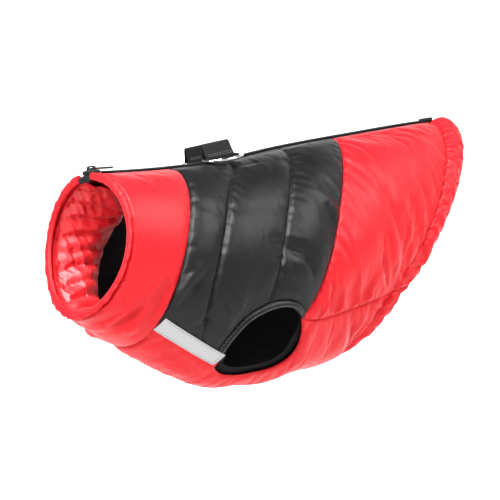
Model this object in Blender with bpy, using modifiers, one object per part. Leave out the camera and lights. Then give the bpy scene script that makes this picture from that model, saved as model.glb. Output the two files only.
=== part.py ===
"""Padded winter jacket for a small dog, empty, in the shape it has when it is worn.

The coat is a tube of sewn panels round the neck and chest, closed by a zip along the spine. It has
a standing collar, a quilted yoke, red back panels, one panel under chest and belly, a padded hem
band and two armholes. Two webbing loops beside the zip carry D-rings for a lead.

Frame: metres, +X to the tail, -Y to the dog's left, +Z up. The origin is over the withers, in the
middle of the back, where the wearer holds the coat.

A place on the coat is a pair (along, around). along is the distance in mm from the neck edge,
measured on the spine. around is the angle in degrees from the spine (0) over the left side (90) to
the belly (180). The right side has the same angles, less than zero. out is the distance in mm from
the coat's form, positive outwards. Tables are in mm and degrees, and MM makes metres of a point.
"""
import math
from collections import namedtuple

import bmesh
import bpy
from mathutils import Matrix, Vector

MM = 0.001
LEFT = 1
RIGHT = -1
SIDES = {"left": LEFT, "right": RIGHT}

# ---------------------------------------------------------------- the coat's form and its seams

Ring = namedtuple("Ring", "along top_x top_z bottom_x bottom_z half_width bow")
RINGS = (
    Ring(0, -92, 11, -122, -79, 48, 5),       # neck edge, 97 mm across
    Ring(70, -24, 3, -87, -108, 54, -7),      # root of the collar
    Ring(112, 18, 0, -42, -141, 62, -10),     # front of the armholes
    Ring(172, 78, 0, -2, -153, 67, -12),      # depth of the chest
    Ring(242, 148, -2, 42, -155, 63, -8),     # loin
    Ring(329, 235, -6, 92, -151, 56, 2),      # root of the hem band
    Ring(341, 247, -7, 101, -147, 54, 5),     # hem edge
)
COLLAR_SEAM = 69
HEM_EDGE = 341
BELLY = 180

Seam = namedtuple("Seam", "around along")
FIRST_QUILTING = (Seam(0, 118), Seam(25, 112), Seam(47, 101), Seam(67, 96), Seam(90, 93), Seam(120, 93))
SECOND_QUILTING = (Seam(0, 170), Seam(24, 164), Seam(53, 153), Seam(74, 147), Seam(92, 144))
YOKE_SEAM = (Seam(0, 224), Seam(38, 211), Seam(67, 204), Seam(97, 200), Seam(112, 194), Seam(121, 186))
HEM_SEAM = (Seam(0, 324), Seam(35, 321), Seam(90, 321), Seam(106, 318), Seam(121, 311), Seam(150, 311),
            Seam(180, 316))

CHEST_SEAM_START = 141       # around, where the yoke meets the chest panel at the collar
CHEST_SEAM_END = 147.8       # around, where that seam runs into the armhole
ARMHOLE_FRONT = 112          # along, the armhole's front corner
BINDING_WIDTH = 5.0

Edge = namedtuple("Edge", "along around")
ARMHOLE_TOP = (
    Edge(ARMHOLE_FRONT, CHEST_SEAM_END), Edge(112.5, 138), Edge(116, 128), Edge(124, 119),
    Edge(138, 114), Edge(155, 112.8), Edge(172, 115), Edge(186, 121),
)

# The belly panel's upper edge. A line runs from each row's place to the belly's middle, which it
# meets at centre. lead is how far it first runs towards the tail, to pass round the armhole.
BellyEdge = namedtuple("BellyEdge", "along around centre lead")
ARMHOLE_BOTTOM = (
    BellyEdge(ARMHOLE_FRONT, CHEST_SEAM_END, 112, 0), BellyEdge(114, 157, 115, 0),
    BellyEdge(122, 161.5, 122, 0), BellyEdge(140, 162.5, 140, 0), BellyEdge(160, 162, 160, 2),
    BellyEdge(178, 159.5, 179, 5), BellyEdge(193, 154.5, 195, 15), BellyEdge(201, 147, 206, 38),
    BellyEdge(199.5, 137, 216, 75), BellyEdge(194, 129, 224, 105), BellyEdge(186, 121, 231, 120),
)
BELLY_SEAM = (
    BellyEdge(186, 121, 231, 120), BellyEdge(202, 123.5, 238, 100), BellyEdge(226, 124.5, 252, 60),
    BellyEdge(255, 124, 272, 30), BellyEdge(285, 122, 294, 12), BellyEdge(311, 121, 316, 6),
)

# ---------------------------------------------------------------- cloth

SEAM_GAP = 0.3
FACE = -1.0                  # out, a panel's outer face at its seams
INSIDE = -3.0                # out, a panel's plain inner face
LINING_FACE = -3.8           # out, the side of the linings that lies to the panels
LINING_INSIDE = -4.8
PADDING = 3.4                # height of the padding between two lines of stitching
COLLAR_PADDING = 1.3

# How a panel's lines are spread from the zip (0) to its lower seam (1), closer near the stitching.
COLUMNS = (0, 0.03, 0.07, 0.13, 0.20, 0.28, 0.36, 0.44, 0.52, 0.60, 0.68, 0.75, 0.82, 0.88, 0.93,
           0.96, 1)
BELLY_COLUMNS = 5
CHEST_SEAM_STOPS = (69, 74.5, 80, 86, 91.5, 97, 101.5, 106.3)
ARMHOLE_TOP_ROWS = 15
ARMHOLE_BOTTOM_ROWS = 13
BACK_ROWS = 14

# The yoke's padded channels: how many rows each has, and how they crowd to its front beside the zip.
Channel = namedtuple("Channel", "rows crowd")
CHANNELS = (Channel(5, 1), Channel(11, 1.5), Channel(6, 1))

Section = namedtuple("Section", "along outer inner")
COLLAR_ROLL = (
    Section(0.0, -1.4, -2.9), Section(1.2, 0.4, -4.6), Section(3.4, 1.4, -5.4), Section(5.6, 0.5, -4.7),
    Section(7.5, -1.3, -3.4), Section(9.5, -0.6, -3.0),
)
COLLAR_ROWS = (20, 33, 46, 58, 69)
COLLAR_LINING_ROWS = (9.2, 20, 30, 40, 50, 60, 68.6)

HemSection = namedtuple("HemSection", "share outer inner")
HEM_ROLL = (
    HemSection(0, -1.0, -3.0), HemSection(0.12, 0.5, -3.2), HemSection(0.34, 1.9, -3.4),
    HemSection(0.6, 2.2, -3.6), HemSection(0.82, 1.4, -3.5), HemSection(0.95, -0.1, -3.1),
    HemSection(1, -1.2, -2.4),
)
BindingSection = namedtuple("BindingSection", "share outer inner")
BINDING_ROLL = (
    BindingSection(0, -1.0, -3.0), BindingSection(0.25, -0.3, -3.3), BindingSection(0.55, 0.3, -3.4),
    BindingSection(0.85, -0.2, -3.2), BindingSection(1, -1.2, -2.6),
)

# Ridges (height above zero) and creases (below) that the padding has, between two places.
Fold = namedtuple("Fold", "along around to_along to_around width height")
YOKE_FOLDS = (
    Fold(79, 99, 72, 122, 6, 1.2), Fold(87, 102, 76, 124, 6, -1.2), Fold(96, 123, 105, 130, 7, -1.1),
    Fold(101, 114, 108, 119, 6, 0.9), Fold(129, 79, 144, 81, 6, -1.3), Fold(132, 85, 144, 87, 5, -1.0),
    Fold(150, 83, 170, 88, 7, -1.6), Fold(170, 88, 184, 97, 7, -1.6), Fold(180, 53, 203, 66, 7, -1.2),
    Fold(183, 60, 200, 71, 6, 1.0), Fold(184, 70, 198, 83, 7, -1.3), Fold(171, 105, 184, 112, 8, 1.0),
    Fold(124, 60, 146, 66, 7, -0.9), Fold(150, 30, 165, 34, 6, -0.8), Fold(104, 60, 118, 62, 6, -0.9),
    Fold(78, 60, 92, 64, 6, -0.8),
)
BACK_FOLDS = (
    Fold(247, 63, 259, 82, 8, -1.4), Fold(277, 68, 290, 96, 8, -2.2), Fold(290, 96, 306, 110, 8, -2.6),
    Fold(287, 74, 299, 88, 8, -1.6), Fold(299, 88, 301, 97, 7, -1.4), Fold(266, 78, 282, 91, 8, -1.5),
    Fold(252, 87, 264, 100, 8, -1.6), Fold(264, 100, 290, 114, 8, -2.4), Fold(309, 76, 316, 87, 7, -1.2),
    Fold(272, 106, 294, 117, 7, 1.8), Fold(226, 103, 240, 116, 8, -1.6), Fold(212, 107, 224, 118, 8, -1.3),
    Fold(283, 84, 296, 104, 7, 1.6), Fold(258, 19, 272, 24, 7, -0.9), Fold(300, 40, 314, 46, 8, -0.8),
)
BELLY_FOLDS = (
    Fold(266, 130, 300, 152, 9, -2.0), Fold(292, 132, 308, 158, 9, -2.2), Fold(240, 132, 256, 146, 9, -1.2),
    Fold(82, 156, 108, 163, 9, -2.0), Fold(90, 164, 110, 170, 9, -1.2), Fold(214, 132, 224, 146, 9, -1.1),
)
COLLAR_FOLDS = (
    Fold(46, 138, 38, 166, 10, -1.3), Fold(63, 114, 55, 142, 9, -1.2), Fold(59, 128, 50, 158, 8, 1.0),
    Fold(24, 150, 20, 172, 9, -0.8),
)
# Soft folds of the collar lining, which fall into the neck.
LINING_FOLDS = (
    Fold(12, 32, 46, 26, 9, 2.2), Fold(12, 50, 50, 37, 10, 2.8), Fold(13, 68, 52, 52, 10, 3.2),
    Fold(13, 84, 50, 72, 10, 3.0), Fold(14, 98, 52, 84, 10, 2.6), Fold(18, 113, 60, 98, 10, 2.8),
    Fold(20, 130, 58, 112, 9, 2.4), Fold(14, 146, 48, 134, 9, 2.0), Fold(12, 164, 44, 156, 9, 2.2),
)
ALONG_MM = 0.8               # mm on the coat's side for one unit along
AROUND_MM = 1.2              # mm on the coat's side for one degree around
BACK_GATHER = 1.2            # height of the gathers over the belly seam
HEM_PUCKER = 0.45
COLLAR_PUCKER = 0.35

# ---------------------------------------------------------------- zip, tape, loops and rings

ZIP_HALF = 7.5               # half the width between the panels' edges
ZIP_TAPE_FACE = -1.2
ZIP_TAPE_INSIDE = -2.2
ZIP_CHAIN_HALF = 2.9
ZIP_CHAIN_TOP = 1.5
ZIP_CHAIN_BOTTOM = -0.9
ZIP_CHAIN_START = 12.9
ZIP_CHAIN_END = 322
ZIP_ROW = 14
ZIP_BOX = (8.0, 8.4, 3.4)
ZIP_TAPE_END = 338.5
ZIP_TURN_DOWN = 6.0          # the tapes' ends are turned down at the neck

SLIDER_ALONG = 7.5
SLIDER_BOTTOM = -0.8
SLIDER_TOP = 1.9
SLIDER_LENGTH = 10.0
SLIDER_FRONT_HALF = 4.6
SLIDER_REAR_HALF = 3.7
BRIDGE_HALF_LENGTH = 2.65    # to the middle of its feet
BRIDGE_WIDTH = 2.6
BRIDGE_TOP = 4.45            # to the middle of the crown
BRIDGE_THICKNESS = 0.9
PULL_AXIS_OUT = 2.95
PULL_THICKNESS = 1.2
PULL_BAR_HALF = 0.65
PULL_WINDOW_END = 4.3
PULL_WINDOW_HALF = 1.75
PULL_NECK_HALF = 2.8
PULL_GRIP_HALF = 3.3
PULL_LENGTH = 17.5

TAPE_WIDTH = 12.0
TAPE_LIFT = 0.5              # out, from a panel's face to the tape's underside
TAPE_THICKNESS = 0.6

LOOP_X = 16.0                # middle of the webbing loops
LOOP_Y = 9.2
LOOP_LEAN = 18.0             # degrees, towards each other, above the ring's bar
LOOP_LEAN_START = 4.3
LOOP_LENGTH = 25.0           # width of the webbing
LOOP_CLEARANCE = 0.75        # from the yoke's face at the loop's middle to its base
WEBBING = 1.3
WIRE_RADIUS = 1.3
WIRE_OUT = 2.9               # from the loop's base to the ring's bar
RING_HALF_WIDTH = 14.3       # to the middle of the wire
RING_DEPTH = 16.5
RING_CORNER = 2.6
RING_SHOULDER = 4.5
RING_REST = 9.0              # degrees below level, where a ring lies on the yoke

Finish = namedtuple("Finish", "name colour roughness metallic")
RED_CLOTH = Finish("red_cloth", (0.85, 0.045, 0.055), 0.6, 0)
RED_LINING = Finish("red_lining", (0.70, 0.02, 0.03), 0.35, 0)
BLACK_NYLON = Finish("black_nylon", (0.020, 0.020, 0.022), 0.4, 0)
BLACK_LINING = Finish("black_lining", (0.010, 0.010, 0.011), 0.7, 0)
BLACK_WEBBING = Finish("black_webbing", (0.015, 0.015, 0.016), 0.7, 0)
BLACK_PLASTIC = Finish("black_plastic", (0.012, 0.012, 0.013), 0.4, 0)
BLACK_METAL = Finish("black_metal", (0.03, 0.03, 0.032), 0.35, 0.8)
REFLECTIVE = Finish("reflective", (0.62, 0.63, 0.64), 0.4, 0.3)
CHROME = Finish("chrome", (0.8, 0.8, 0.82), 0.12, 1)


# ---------------------------------------------------------------- places and points

def read_table(rows, at):
    """The columns after the first of a table, at a value of the first, on a smooth curve."""
    last = len(rows) - 1
    i = min(last - 1, max(0, sum(row[0] <= at for row in rows) - 1))
    step = rows[i + 1][0] - rows[i][0]
    t = (at - rows[i][0]) / step
    values = []
    for column in range(1, len(rows[0])):
        rises = [(rows[k + 1][column] - rows[k][column]) / (rows[k + 1][0] - rows[k][0]) for k in range(last)]
        slopes = []
        for k in (i, i + 1):
            if k in (0, last):
                slopes.append(rises[min(k, last - 1)])
            else:
                before, after = rows[k][0] - rows[k - 1][0], rows[k + 1][0] - rows[k][0]
                slopes.append((rises[k] * before + rises[k - 1] * after) / (before + after))
        values.append((2 * t**3 - 3 * t**2 + 1) * rows[i][column] + (t**3 - 2 * t**2 + t) * step * slopes[0]
                      + (3 * t**2 - 2 * t**3) * rows[i + 1][column] + (t**3 - t**2) * step * slopes[1])
    return values


def form(along, around):
    """The point of the coat's form at a place."""
    top_x, top_z, bottom_x, bottom_z, half_width, bow = read_table(RINGS, along)
    angle = math.radians(around)
    down = (1 - math.cos(angle)) / 2
    side = math.sin(angle)
    return Vector((top_x + (bottom_x - top_x) * down + bow * side**2,
                   -half_width * side,
                   top_z + (bottom_z - top_z) * down))


def courses(along, around):
    """How the form's point moves for one unit along and for one degree around."""
    half = 0.5
    return (form(along + half, around) - form(along - half, around),
            form(along, around + half) - form(along, around - half))


def outward(along, around):
    """The direction out of the coat at a place."""
    lengthwise, crosswise = courses(along, around)
    return crosswise.cross(lengthwise).normalized()


def skin(along, around, out=0.0):
    """The point at a distance out from a place."""
    return form(along, around) + outward(along, around) * out


def beside(line, distance):
    """A line of places, moved over the coat to the left of its course as seen from outside."""
    moved = []
    for i, (along, around) in enumerate(line):
        course = form(*line[min(i + 1, len(line) - 1)]) - form(*line[max(i - 1, 0)])
        move = outward(along, around).cross(course).normalized() * distance
        a, b = courses(along, around)
        aa, ab, bb = a.dot(a), a.dot(b), b.dot(b)
        scale = aa * bb - ab * ab
        moved.append(Edge(along + (a.dot(move) * bb - b.dot(move) * ab) / scale,
                          around + (b.dot(move) * aa - a.dot(move) * ab) / scale))
    return moved


def smooth_line(rows, count):
    """count + 1 rows spread evenly on a smooth curve through a table of places."""
    reach = [0.0]
    for before, after in zip(rows, rows[1:]):
        reach.append(reach[-1] + (form(*after[:2]) - form(*before[:2])).length)
    table = [(at, *row) for at, row in zip(reach, rows)]
    return [read_table(table, reach[-1] * i / count) for i in range(count + 1)]


def ease(value):
    """A smooth step from 0 to 1."""
    value = min(1.0, max(0.0, value))
    return value * value * (3 - 2 * value)


def zip_edge(along):
    """The angle at which a panel ends beside the zip."""
    return math.degrees(math.asin(ZIP_HALF / read_table(RINGS, along)[4]))


def chest_seam(along):
    """The angle of the seam between yoke and chest panel."""
    share = (along - COLLAR_SEAM) / (ARMHOLE_FRONT - COLLAR_SEAM)
    return CHEST_SEAM_START + (CHEST_SEAM_END - CHEST_SEAM_START) * share


def seam_line(rows, end):
    """Places from the zip to an end place, on a seam that runs round the coat."""
    table = tuple(rows) + (Seam(end[1], end[0]),) if rows[-1].around < end[1] else rows
    start = zip_edge(rows[0].along)
    places = []
    for share in COLUMNS:
        around = start + (end[1] - start) * share
        places.append(Edge(read_table(table, around)[0], around))
    return places


def patch(top, bottom, start, end, shares):
    """Places over an area between four sides: row i runs from top[i] to bottom[i]."""
    rows = []
    for i, (upper, lower) in enumerate(zip(top, bottom)):
        u = i / (len(top) - 1)
        row = []
        for j, v in enumerate(shares):
            place = []
            for k in (0, 1):
                ruled = [(1 - v) * first[k] + v * last[k]
                         for first, last in ((upper, lower), (top[0], bottom[0]), (top[-1], bottom[-1]))]
                place.append(ruled[0] + (1 - u) * (start[j][k] - ruled[1]) + u * (end[j][k] - ruled[2]))
            row.append(place)
        rows.append(row)
    return rows


def mirrored(places, side):
    """A grid of places on the left or the right side."""
    return [[(along, around * side) for along, around in row] for row in places]


# ---------------------------------------------------------------- the shape of padded cloth

def folds(table, along, around):
    """The height that a table's folds give a place."""
    height = 0.0
    for fold in table:
        run = ((fold.to_along - fold.along) * ALONG_MM, (fold.to_around - fold.around) * AROUND_MM)
        to = ((along - fold.along) * ALONG_MM, (abs(around) - fold.around) * AROUND_MM)
        share = min(1.0, max(0.0, (run[0] * to[0] + run[1] * to[1]) / (run[0]**2 + run[1]**2)))
        distance = math.hypot(to[0] - run[0] * share, to[1] - run[1] * share)
        if distance < fold.width:
            height += fold.height * (1 - (distance / fold.width)**2)**2
    return height


def between_stitches(share):
    """The form of padding between two lines of stitching, 0 at both and 1 between them."""
    return max(0.0, math.sin(math.pi * share))**0.7


def below_zip(share):
    """How much padding a panel has at a share of its way down: none under the edge stitching."""
    return ease((share - 0.03) / 0.07)


def above_seam(share, flat=0.0, reach=0.08):
    """How much padding a panel has near its lower seam, which it meets flat."""
    return ease((1 - share - flat) / reach)


# ---------------------------------------------------------------- making solids

def new_object(name, mesh, finish):
    """An object of a mesh, in the coat's collection and with its finish."""
    material = bpy.data.materials.get(finish.name)
    if material is None:
        material = bpy.data.materials.new(finish.name)
        material.use_nodes = True
        shader = material.node_tree.nodes["Principled BSDF"]
        shader.inputs["Base Color"].default_value = (*finish.colour, 1)
        shader.inputs["Roughness"].default_value = finish.roughness
        shader.inputs["Metallic"].default_value = finish.metallic
    mesh.materials.append(material)
    piece = bpy.data.objects.new(name, mesh)
    bpy.data.collections["dog_winter_jacket"].objects.link(piece)
    return piece


def drawn_in(points):
    """A grid of points with its border moved in by half a seam gap, square to the border."""
    rows, columns = len(points), len(points[0])
    moved = [[point.copy() for point in row] for row in points]

    def draw(i, j, inner, before, after):
        course = points[after[0]][after[1]] - points[before[0]][before[1]]
        inward = points[inner[0]][inner[1]] - points[i][j]
        inward -= course * (inward.dot(course) / course.dot(course))
        moved[i][j] += inward.normalized() * SEAM_GAP / 2

    for j in range(columns):
        for i, inner in ((0, 1), (rows - 1, rows - 2)):
            draw(i, j, (inner, j), (i, max(j - 1, 0)), (i, min(j + 1, columns - 1)))
    for i in range(rows):
        for j, inner in ((0, 1), (columns - 1, columns - 2)):
            draw(i, j, (i, inner), (max(i - 1, 0), j), (min(i + 1, rows - 1), j))
    return moved


def wall(name, outer, inner, finish):
    """A closed wall between an outer and an inner grid of points in mm."""
    rows, columns = len(outer), len(outer[0])
    shape = bmesh.new()
    bmesh.ops.create_grid(shape, x_segments=rows - 1, y_segments=columns - 1, size=1)
    lower = list(shape.verts)
    made = bmesh.ops.extrude_face_region(shape, geom=shape.faces[:])["geom"]
    upper = [item for item in made if isinstance(item, bmesh.types.BMVert)]
    for vertices, points in ((lower, inner), (upper, outer)):
        for vertex in vertices:
            i = round((vertex.co.x + 1) / 2 * (rows - 1))
            j = round((vertex.co.y + 1) / 2 * (columns - 1))
            vertex.co = points[i][j] * MM
    bmesh.ops.recalc_face_normals(shape, faces=shape.faces)
    if shape.calc_volume(signed=True) < 0:
        bmesh.ops.reverse_faces(shape, faces=shape.faces)
    mesh = bpy.data.meshes.new(name)
    shape.to_mesh(mesh)
    shape.free()
    mesh.shade_smooth()
    mesh.set_sharp_from_angle(angle=math.radians(50))
    return new_object(name, mesh, finish)


def panel(name, places, outer, inner, finish, seams=True):
    """A wall over a grid of places. outer and inner give the distance out at (i, j, along, around)."""
    layers = []
    for out in (outer, inner):
        points = [[skin(along, around, out(i, j, along, around)) for j, (along, around) in enumerate(row)]
                  for i, row in enumerate(places)]
        layers.append(drawn_in(points) if seams else points)
    return wall(name, *layers, finish)


def plain(out):
    """A face at one distance out."""
    return lambda i, j, along, around: out


# ---------------------------------------------------------------- lines that panels share

ARMHOLE_EDGE = [Edge(*row) for row in smooth_line(ARMHOLE_TOP, ARMHOLE_TOP_ROWS)]
CHEST_LINE = [Edge(along, chest_seam(along)) for along in CHEST_SEAM_STOPS]
BINDING_LINE = beside(ARMHOLE_EDGE, BINDING_WIDTH)
BINDING_LINE[0] = CHEST_LINE[-1]
BINDING_LINE[-1] = Edge(read_table(YOKE_SEAM, BINDING_LINE[-1].around)[0], BINDING_LINE[-1].around)
YOKE_LOWER = CHEST_LINE + BINDING_LINE[1:]
FIRST_END = CHANNELS[0].rows
SECOND_END = FIRST_END + CHANNELS[1].rows

COLLAR_SIDE = [Edge(COLLAR_SEAM, zip_edge(COLLAR_SEAM) + (CHEST_SEAM_START - zip_edge(COLLAR_SEAM)) * share)
               for share in COLUMNS]
YOKE_LINES = (
    COLLAR_SIDE,
    seam_line(FIRST_QUILTING, YOKE_LOWER[FIRST_END]),
    seam_line(SECOND_QUILTING, YOKE_LOWER[SECOND_END]),
    seam_line(YOKE_SEAM, YOKE_LOWER[-1]),
)
YOKE_STOPS = (0, FIRST_END, SECOND_END, len(YOKE_LOWER) - 1)

BACK_FRONT = YOKE_LINES[-1] + [Edge(*ARMHOLE_TOP[-1])]
BACK_SHARES = [(place[1] - BACK_FRONT[0][1]) / (BACK_FRONT[-1][1] - BACK_FRONT[0][1]) for place in BACK_FRONT]
HEM_CORNER = BELLY_SEAM[-1]
HEM_START = zip_edge(HEM_SEAM[0].along)
HEM_SIDE = [Edge(read_table(HEM_SEAM, HEM_START + (HEM_CORNER.around - HEM_START) * share)[0],
                 HEM_START + (HEM_CORNER.around - HEM_START) * share) for share in BACK_SHARES]
BELLY_LINE = smooth_line(BELLY_SEAM, BACK_ROWS)


def zip_line(start, end, count, crowd=1.0):
    """Places beside the zip, from one place to another, crowded to the first where crowd is over 1."""
    stops = [start + (end - start) * (i / count)**crowd for i in range(count + 1)]
    return [Edge(along, zip_edge(along)) for along in stops]


def yoke_places():
    """The left yoke's places: three channels side by side, and each row's channel and share of it."""
    rows, channels = [], []
    for channel in range(3):
        start, end = YOKE_LINES[channel], YOKE_LINES[channel + 1]
        first, last = YOKE_STOPS[channel], YOKE_STOPS[channel + 1]
        top = zip_line(start[0].along, end[0].along, last - first, CHANNELS[channel].crowd)
        area = patch(top, YOKE_LOWER[first:last + 1], start, end, COLUMNS)
        skipped = 1 if channel else 0
        rows += area[skipped:]
        channels += [i / (last - first) for i in range(skipped, last - first + 1)]
    return rows, channels


def back_places():
    """The left back panel's places."""
    top = zip_line(BACK_FRONT[0].along, HEM_SIDE[0].along, BACK_ROWS)
    return patch(top, [Edge(*row[:2]) for row in BELLY_LINE], BACK_FRONT, HEM_SIDE, BACK_SHARES)


def belly_places():
    """The places of the panel under chest and belly, from its left edge to its right one."""
    chest = [(along, around, along, 0) for along, around in CHEST_LINE]
    edge = chest + smooth_line(ARMHOLE_BOTTOM, ARMHOLE_BOTTOM_ROWS) + BELLY_LINE[1:]
    shares = [j / BELLY_COLUMNS for j in range(BELLY_COLUMNS + 1)]
    hem = [HEM_CORNER.around + (BELLY - HEM_CORNER.around) * share for share in shares]
    rows = []
    for i, (along, around, centre, lead) in enumerate(edge):
        u = i / (len(edge) - 1)
        half = []
        for share, hem_around in zip(shares, hem):
            bend = share * (1 - share)**2 * lead
            straight = along + (centre - along) * ease(share) + bend
            end = HEM_CORNER.along + (HEM_CORNER.centre - HEM_CORNER.along) * ease(share)
            end += share * (1 - share)**2 * HEM_CORNER.lead
            closing = (read_table(HEM_SEAM, hem_around)[0] - end) * u**6
            half.append((straight + closing, around + (BELLY - around) * share))
        rows.append(half + [(at, 2 * BELLY - angle) for at, angle in reversed(half[:-1])])
    return rows


def collar_columns(along):
    """Angles round the collar, from the zip over the left side and the belly to the zip."""
    start = zip_edge(along)
    left = [start + (CHEST_SEAM_START - start) * share for share in COLUMNS]
    left += [CHEST_SEAM_START + (BELLY - CHEST_SEAM_START) * j / BELLY_COLUMNS
             for j in range(1, BELLY_COLUMNS + 1)]
    return left + [2 * BELLY - angle for angle in reversed(left[:-1])]


def from_spine(around):
    """The angle from the spine on either side, of an angle that runs all the way round."""
    return min(around, 2 * BELLY - around)


# ---------------------------------------------------------------- the pieces

def make_collar():
    """The standing collar with its rolled rim, and the lining inside it."""
    stops = [row.along for row in COLLAR_ROLL] + list(COLLAR_ROWS)
    roll_end = COLLAR_ROLL[-1].along

    def outer(i, j, along, around):
        if along <= roll_end:
            pucker = COLLAR_PUCKER * math.cos(math.pi * j) * ease((along - 0.5) / 2) * ease((7.5 - along) / 2)
            return COLLAR_ROLL[i].outer + pucker
        share = (along - roll_end) / (COLLAR_SEAM - roll_end)
        sides = ease(min(j, last - j) / 3)
        height = COLLAR_PADDING * between_stitches(share) * sides
        return FACE + 0.3 * (1 - share)**4 + height + ease((1 - share) * 8) * sides * folds(
            COLLAR_FOLDS, along, from_spine(around))

    def inner(i, j, along, around):
        return COLLAR_ROLL[i].inner if along <= roll_end else INSIDE

    places = [[(along, around) for around in collar_columns(along)] for along in stops]
    last = len(places[0]) - 1
    panel("collar", places, outer, inner, RED_CLOTH)

    def lining_inner(i, j, along, around):
        edges = ease((along - COLLAR_LINING_ROWS[0] + 1) / 6) * ease((COLLAR_SEAM - along) / 14)
        return LINING_INSIDE - edges * folds(LINING_FOLDS, along, from_spine(around))

    places = [[(along, around) for around in collar_columns(along)] for along in COLLAR_LINING_ROWS]
    panel("collar_lining", places, plain(LINING_FACE), lining_inner, RED_LINING)


def make_yoke(name, side):
    """One side of the quilted yoke."""
    places, channels = yoke_places()

    def outer(i, j, along, around):
        edges = below_zip(COLUMNS[j]) * above_seam(COLUMNS[j], 0.04)
        seams = ease(min(i, len(places) - 1 - i) / 1.5)
        puff = PADDING * between_stitches(channels[i])
        return FACE + edges * (puff + seams * folds(YOKE_FOLDS, along, around))

    panel("yoke_" + name, mirrored(places, side), outer, plain(INSIDE), BLACK_NYLON)


def make_back(name, side):
    """One red back panel, gathered into the belly seam."""
    places = back_places()

    def outer(i, j, along, around):
        share = i / BACK_ROWS
        edges = below_zip(BACK_SHARES[j]) * above_seam(BACK_SHARES[j], 0, 0.07)
        puff = 1.1 * PADDING * between_stitches(share)
        gather = BACK_GATHER * math.cos(math.pi * i) * (1 + 0.4 * math.sin(2.3 * i))
        gather *= ease((BACK_SHARES[j] - 0.74) / 0.14)
        seams = ease(min(i, BACK_ROWS - i) / 1.2)
        return FACE + edges * (puff + seams * (gather + folds(BACK_FOLDS, along, around)))

    panel("back_" + name, mirrored(places, side), outer, plain(INSIDE), RED_CLOTH)


def make_belly():
    """The panel under chest and belly."""
    places = belly_places()
    last = len(places) - 1
    width = len(places[0]) - 1

    def outer(i, j, along, around):
        inset = min(j, width - j) / BELLY_COLUMNS
        edges = ease((inset - 0.1) / 0.35) * ease(min(i, last - i) / 2)
        return FACE + edges * (0.7 * PADDING + folds(BELLY_FOLDS, along, from_spine(around)))

    panel("belly", places, outer, plain(INSIDE), RED_CLOTH)


def hem_places(columns):
    """Places of the hem band under a line of places on its seam."""
    return [[(at + (HEM_EDGE - at) * row.share, around) for at, around in columns] for row in HEM_ROLL]


def make_hem(name, columns):
    """One piece of the padded hem band."""
    def outer(i, j, along, around):
        pucker = HEM_PUCKER * math.cos(math.pi * j) * math.sin(math.pi * HEM_ROLL[i].share)
        ends = ease(min(j, len(columns) - 1 - j) / 2)
        return FACE + (HEM_ROLL[i].outer - FACE) * (0.55 + 0.45 * ends) + pucker * ends

    def inner(i, j, along, around):
        return HEM_ROLL[i].inner

    panel("hem_" + name, hem_places(columns), outer, inner, RED_CLOTH)


def make_binding(name, side):
    """The rolled binding on the yoke's edge of an armhole."""
    last = len(BINDING_LINE) - 1
    places = [[(outer_place[0] + (edge[0] - outer_place[0]) * row.share,
                (outer_place[1] + (edge[1] - outer_place[1]) * row.share) * side) for row in BINDING_ROLL]
              for outer_place, edge in zip(BINDING_LINE, ARMHOLE_EDGE)]

    def outer(i, j, along, around):
        ends = ease((min(i, last - i) - 0.8) / 1.5)
        return FACE + (BINDING_ROLL[j].outer - FACE) * (ends if BINDING_ROLL[j].outer > FACE else 1)

    def inner(i, j, along, around):
        return BINDING_ROLL[j].inner

    panel("armhole_binding_" + name, places, outer, inner, BLACK_NYLON)


def make_lining(name, side):
    """The black lining behind yoke and back panel, on every second row and third column of theirs."""
    yoke = [row[:-1:3] + [row[-1]] for row in yoke_places()[0][:-1:2]]
    back = [row[:-2:3] + [row[-1]] for row in back_places()[::2]]
    places = mirrored(yoke + back, side)
    panel("lining_" + name, places, plain(LINING_FACE), plain(LINING_INSIDE), BLACK_LINING)


def make_belly_lining():
    """The black lining behind the belly panel, on rows that the side linings have too."""
    rows = belly_places()
    chest = len(CHEST_LINE)
    places = [row[::2] for row in rows[:chest:2] + rows[chest + 1::2]]
    panel("lining_belly", places, plain(LINING_FACE), plain(LINING_INSIDE), BLACK_LINING)


def crosswise(along, y):
    """The angle at which the coat's form is y to the left of the middle."""
    return math.degrees(math.asin(y / read_table(RINGS, along)[4]))


def make_zip():
    """The zip's two tapes, its chain and the box at its lower end."""
    stops = [ZIP_ROW * k for k in range(1, int(ZIP_TAPE_END / ZIP_ROW) + 1)] + [ZIP_TAPE_END]
    front = ((0.5, -ZIP_TURN_DOWN), (0.5, -4.0), (0.9, -2.2), (2.5, ZIP_TAPE_FACE))
    for name, side in SIDES.items():
        edges = [side * y for y in (0.2, 3.6, ZIP_HALF - 0.4)]
        layers = []
        for thickness in (0.0, ZIP_TAPE_FACE - ZIP_TAPE_INSIDE):
            rows = [[skin(along + (thickness if out < -3 else thickness * 0.6), crosswise(along, y),
                          out - (0 if out < -3 else thickness)) for y in edges] for along, out in front]
            rows += [[skin(along, crosswise(along, y), ZIP_TAPE_FACE - thickness) for y in edges]
                     for along in stops]
            layers.append(rows)
        wall("zip_tape_" + name, *layers, BLACK_WEBBING)
    inner_stops = [ZIP_CHAIN_START] + [at for at in stops if ZIP_CHAIN_START < at < ZIP_CHAIN_END]
    inner_stops.append(ZIP_CHAIN_END)
    edges = (-ZIP_CHAIN_HALF, 0, ZIP_CHAIN_HALF)
    layers = [[[skin(along, crosswise(along, y), out) for y in edges] for along in inner_stops]
              for out in (ZIP_CHAIN_TOP, ZIP_CHAIN_BOTTOM)]
    wall("zip_chain", *layers, BLACK_PLASTIC)
    length, width, height = ZIP_BOX
    box = block("zip_box", (length, width / 2, width / 2, height), BLACK_PLASTIC)
    box.matrix_world = seat(ZIP_CHAIN_END + SEAM_GAP + length / 2, ZIP_CHAIN_BOTTOM)


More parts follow.
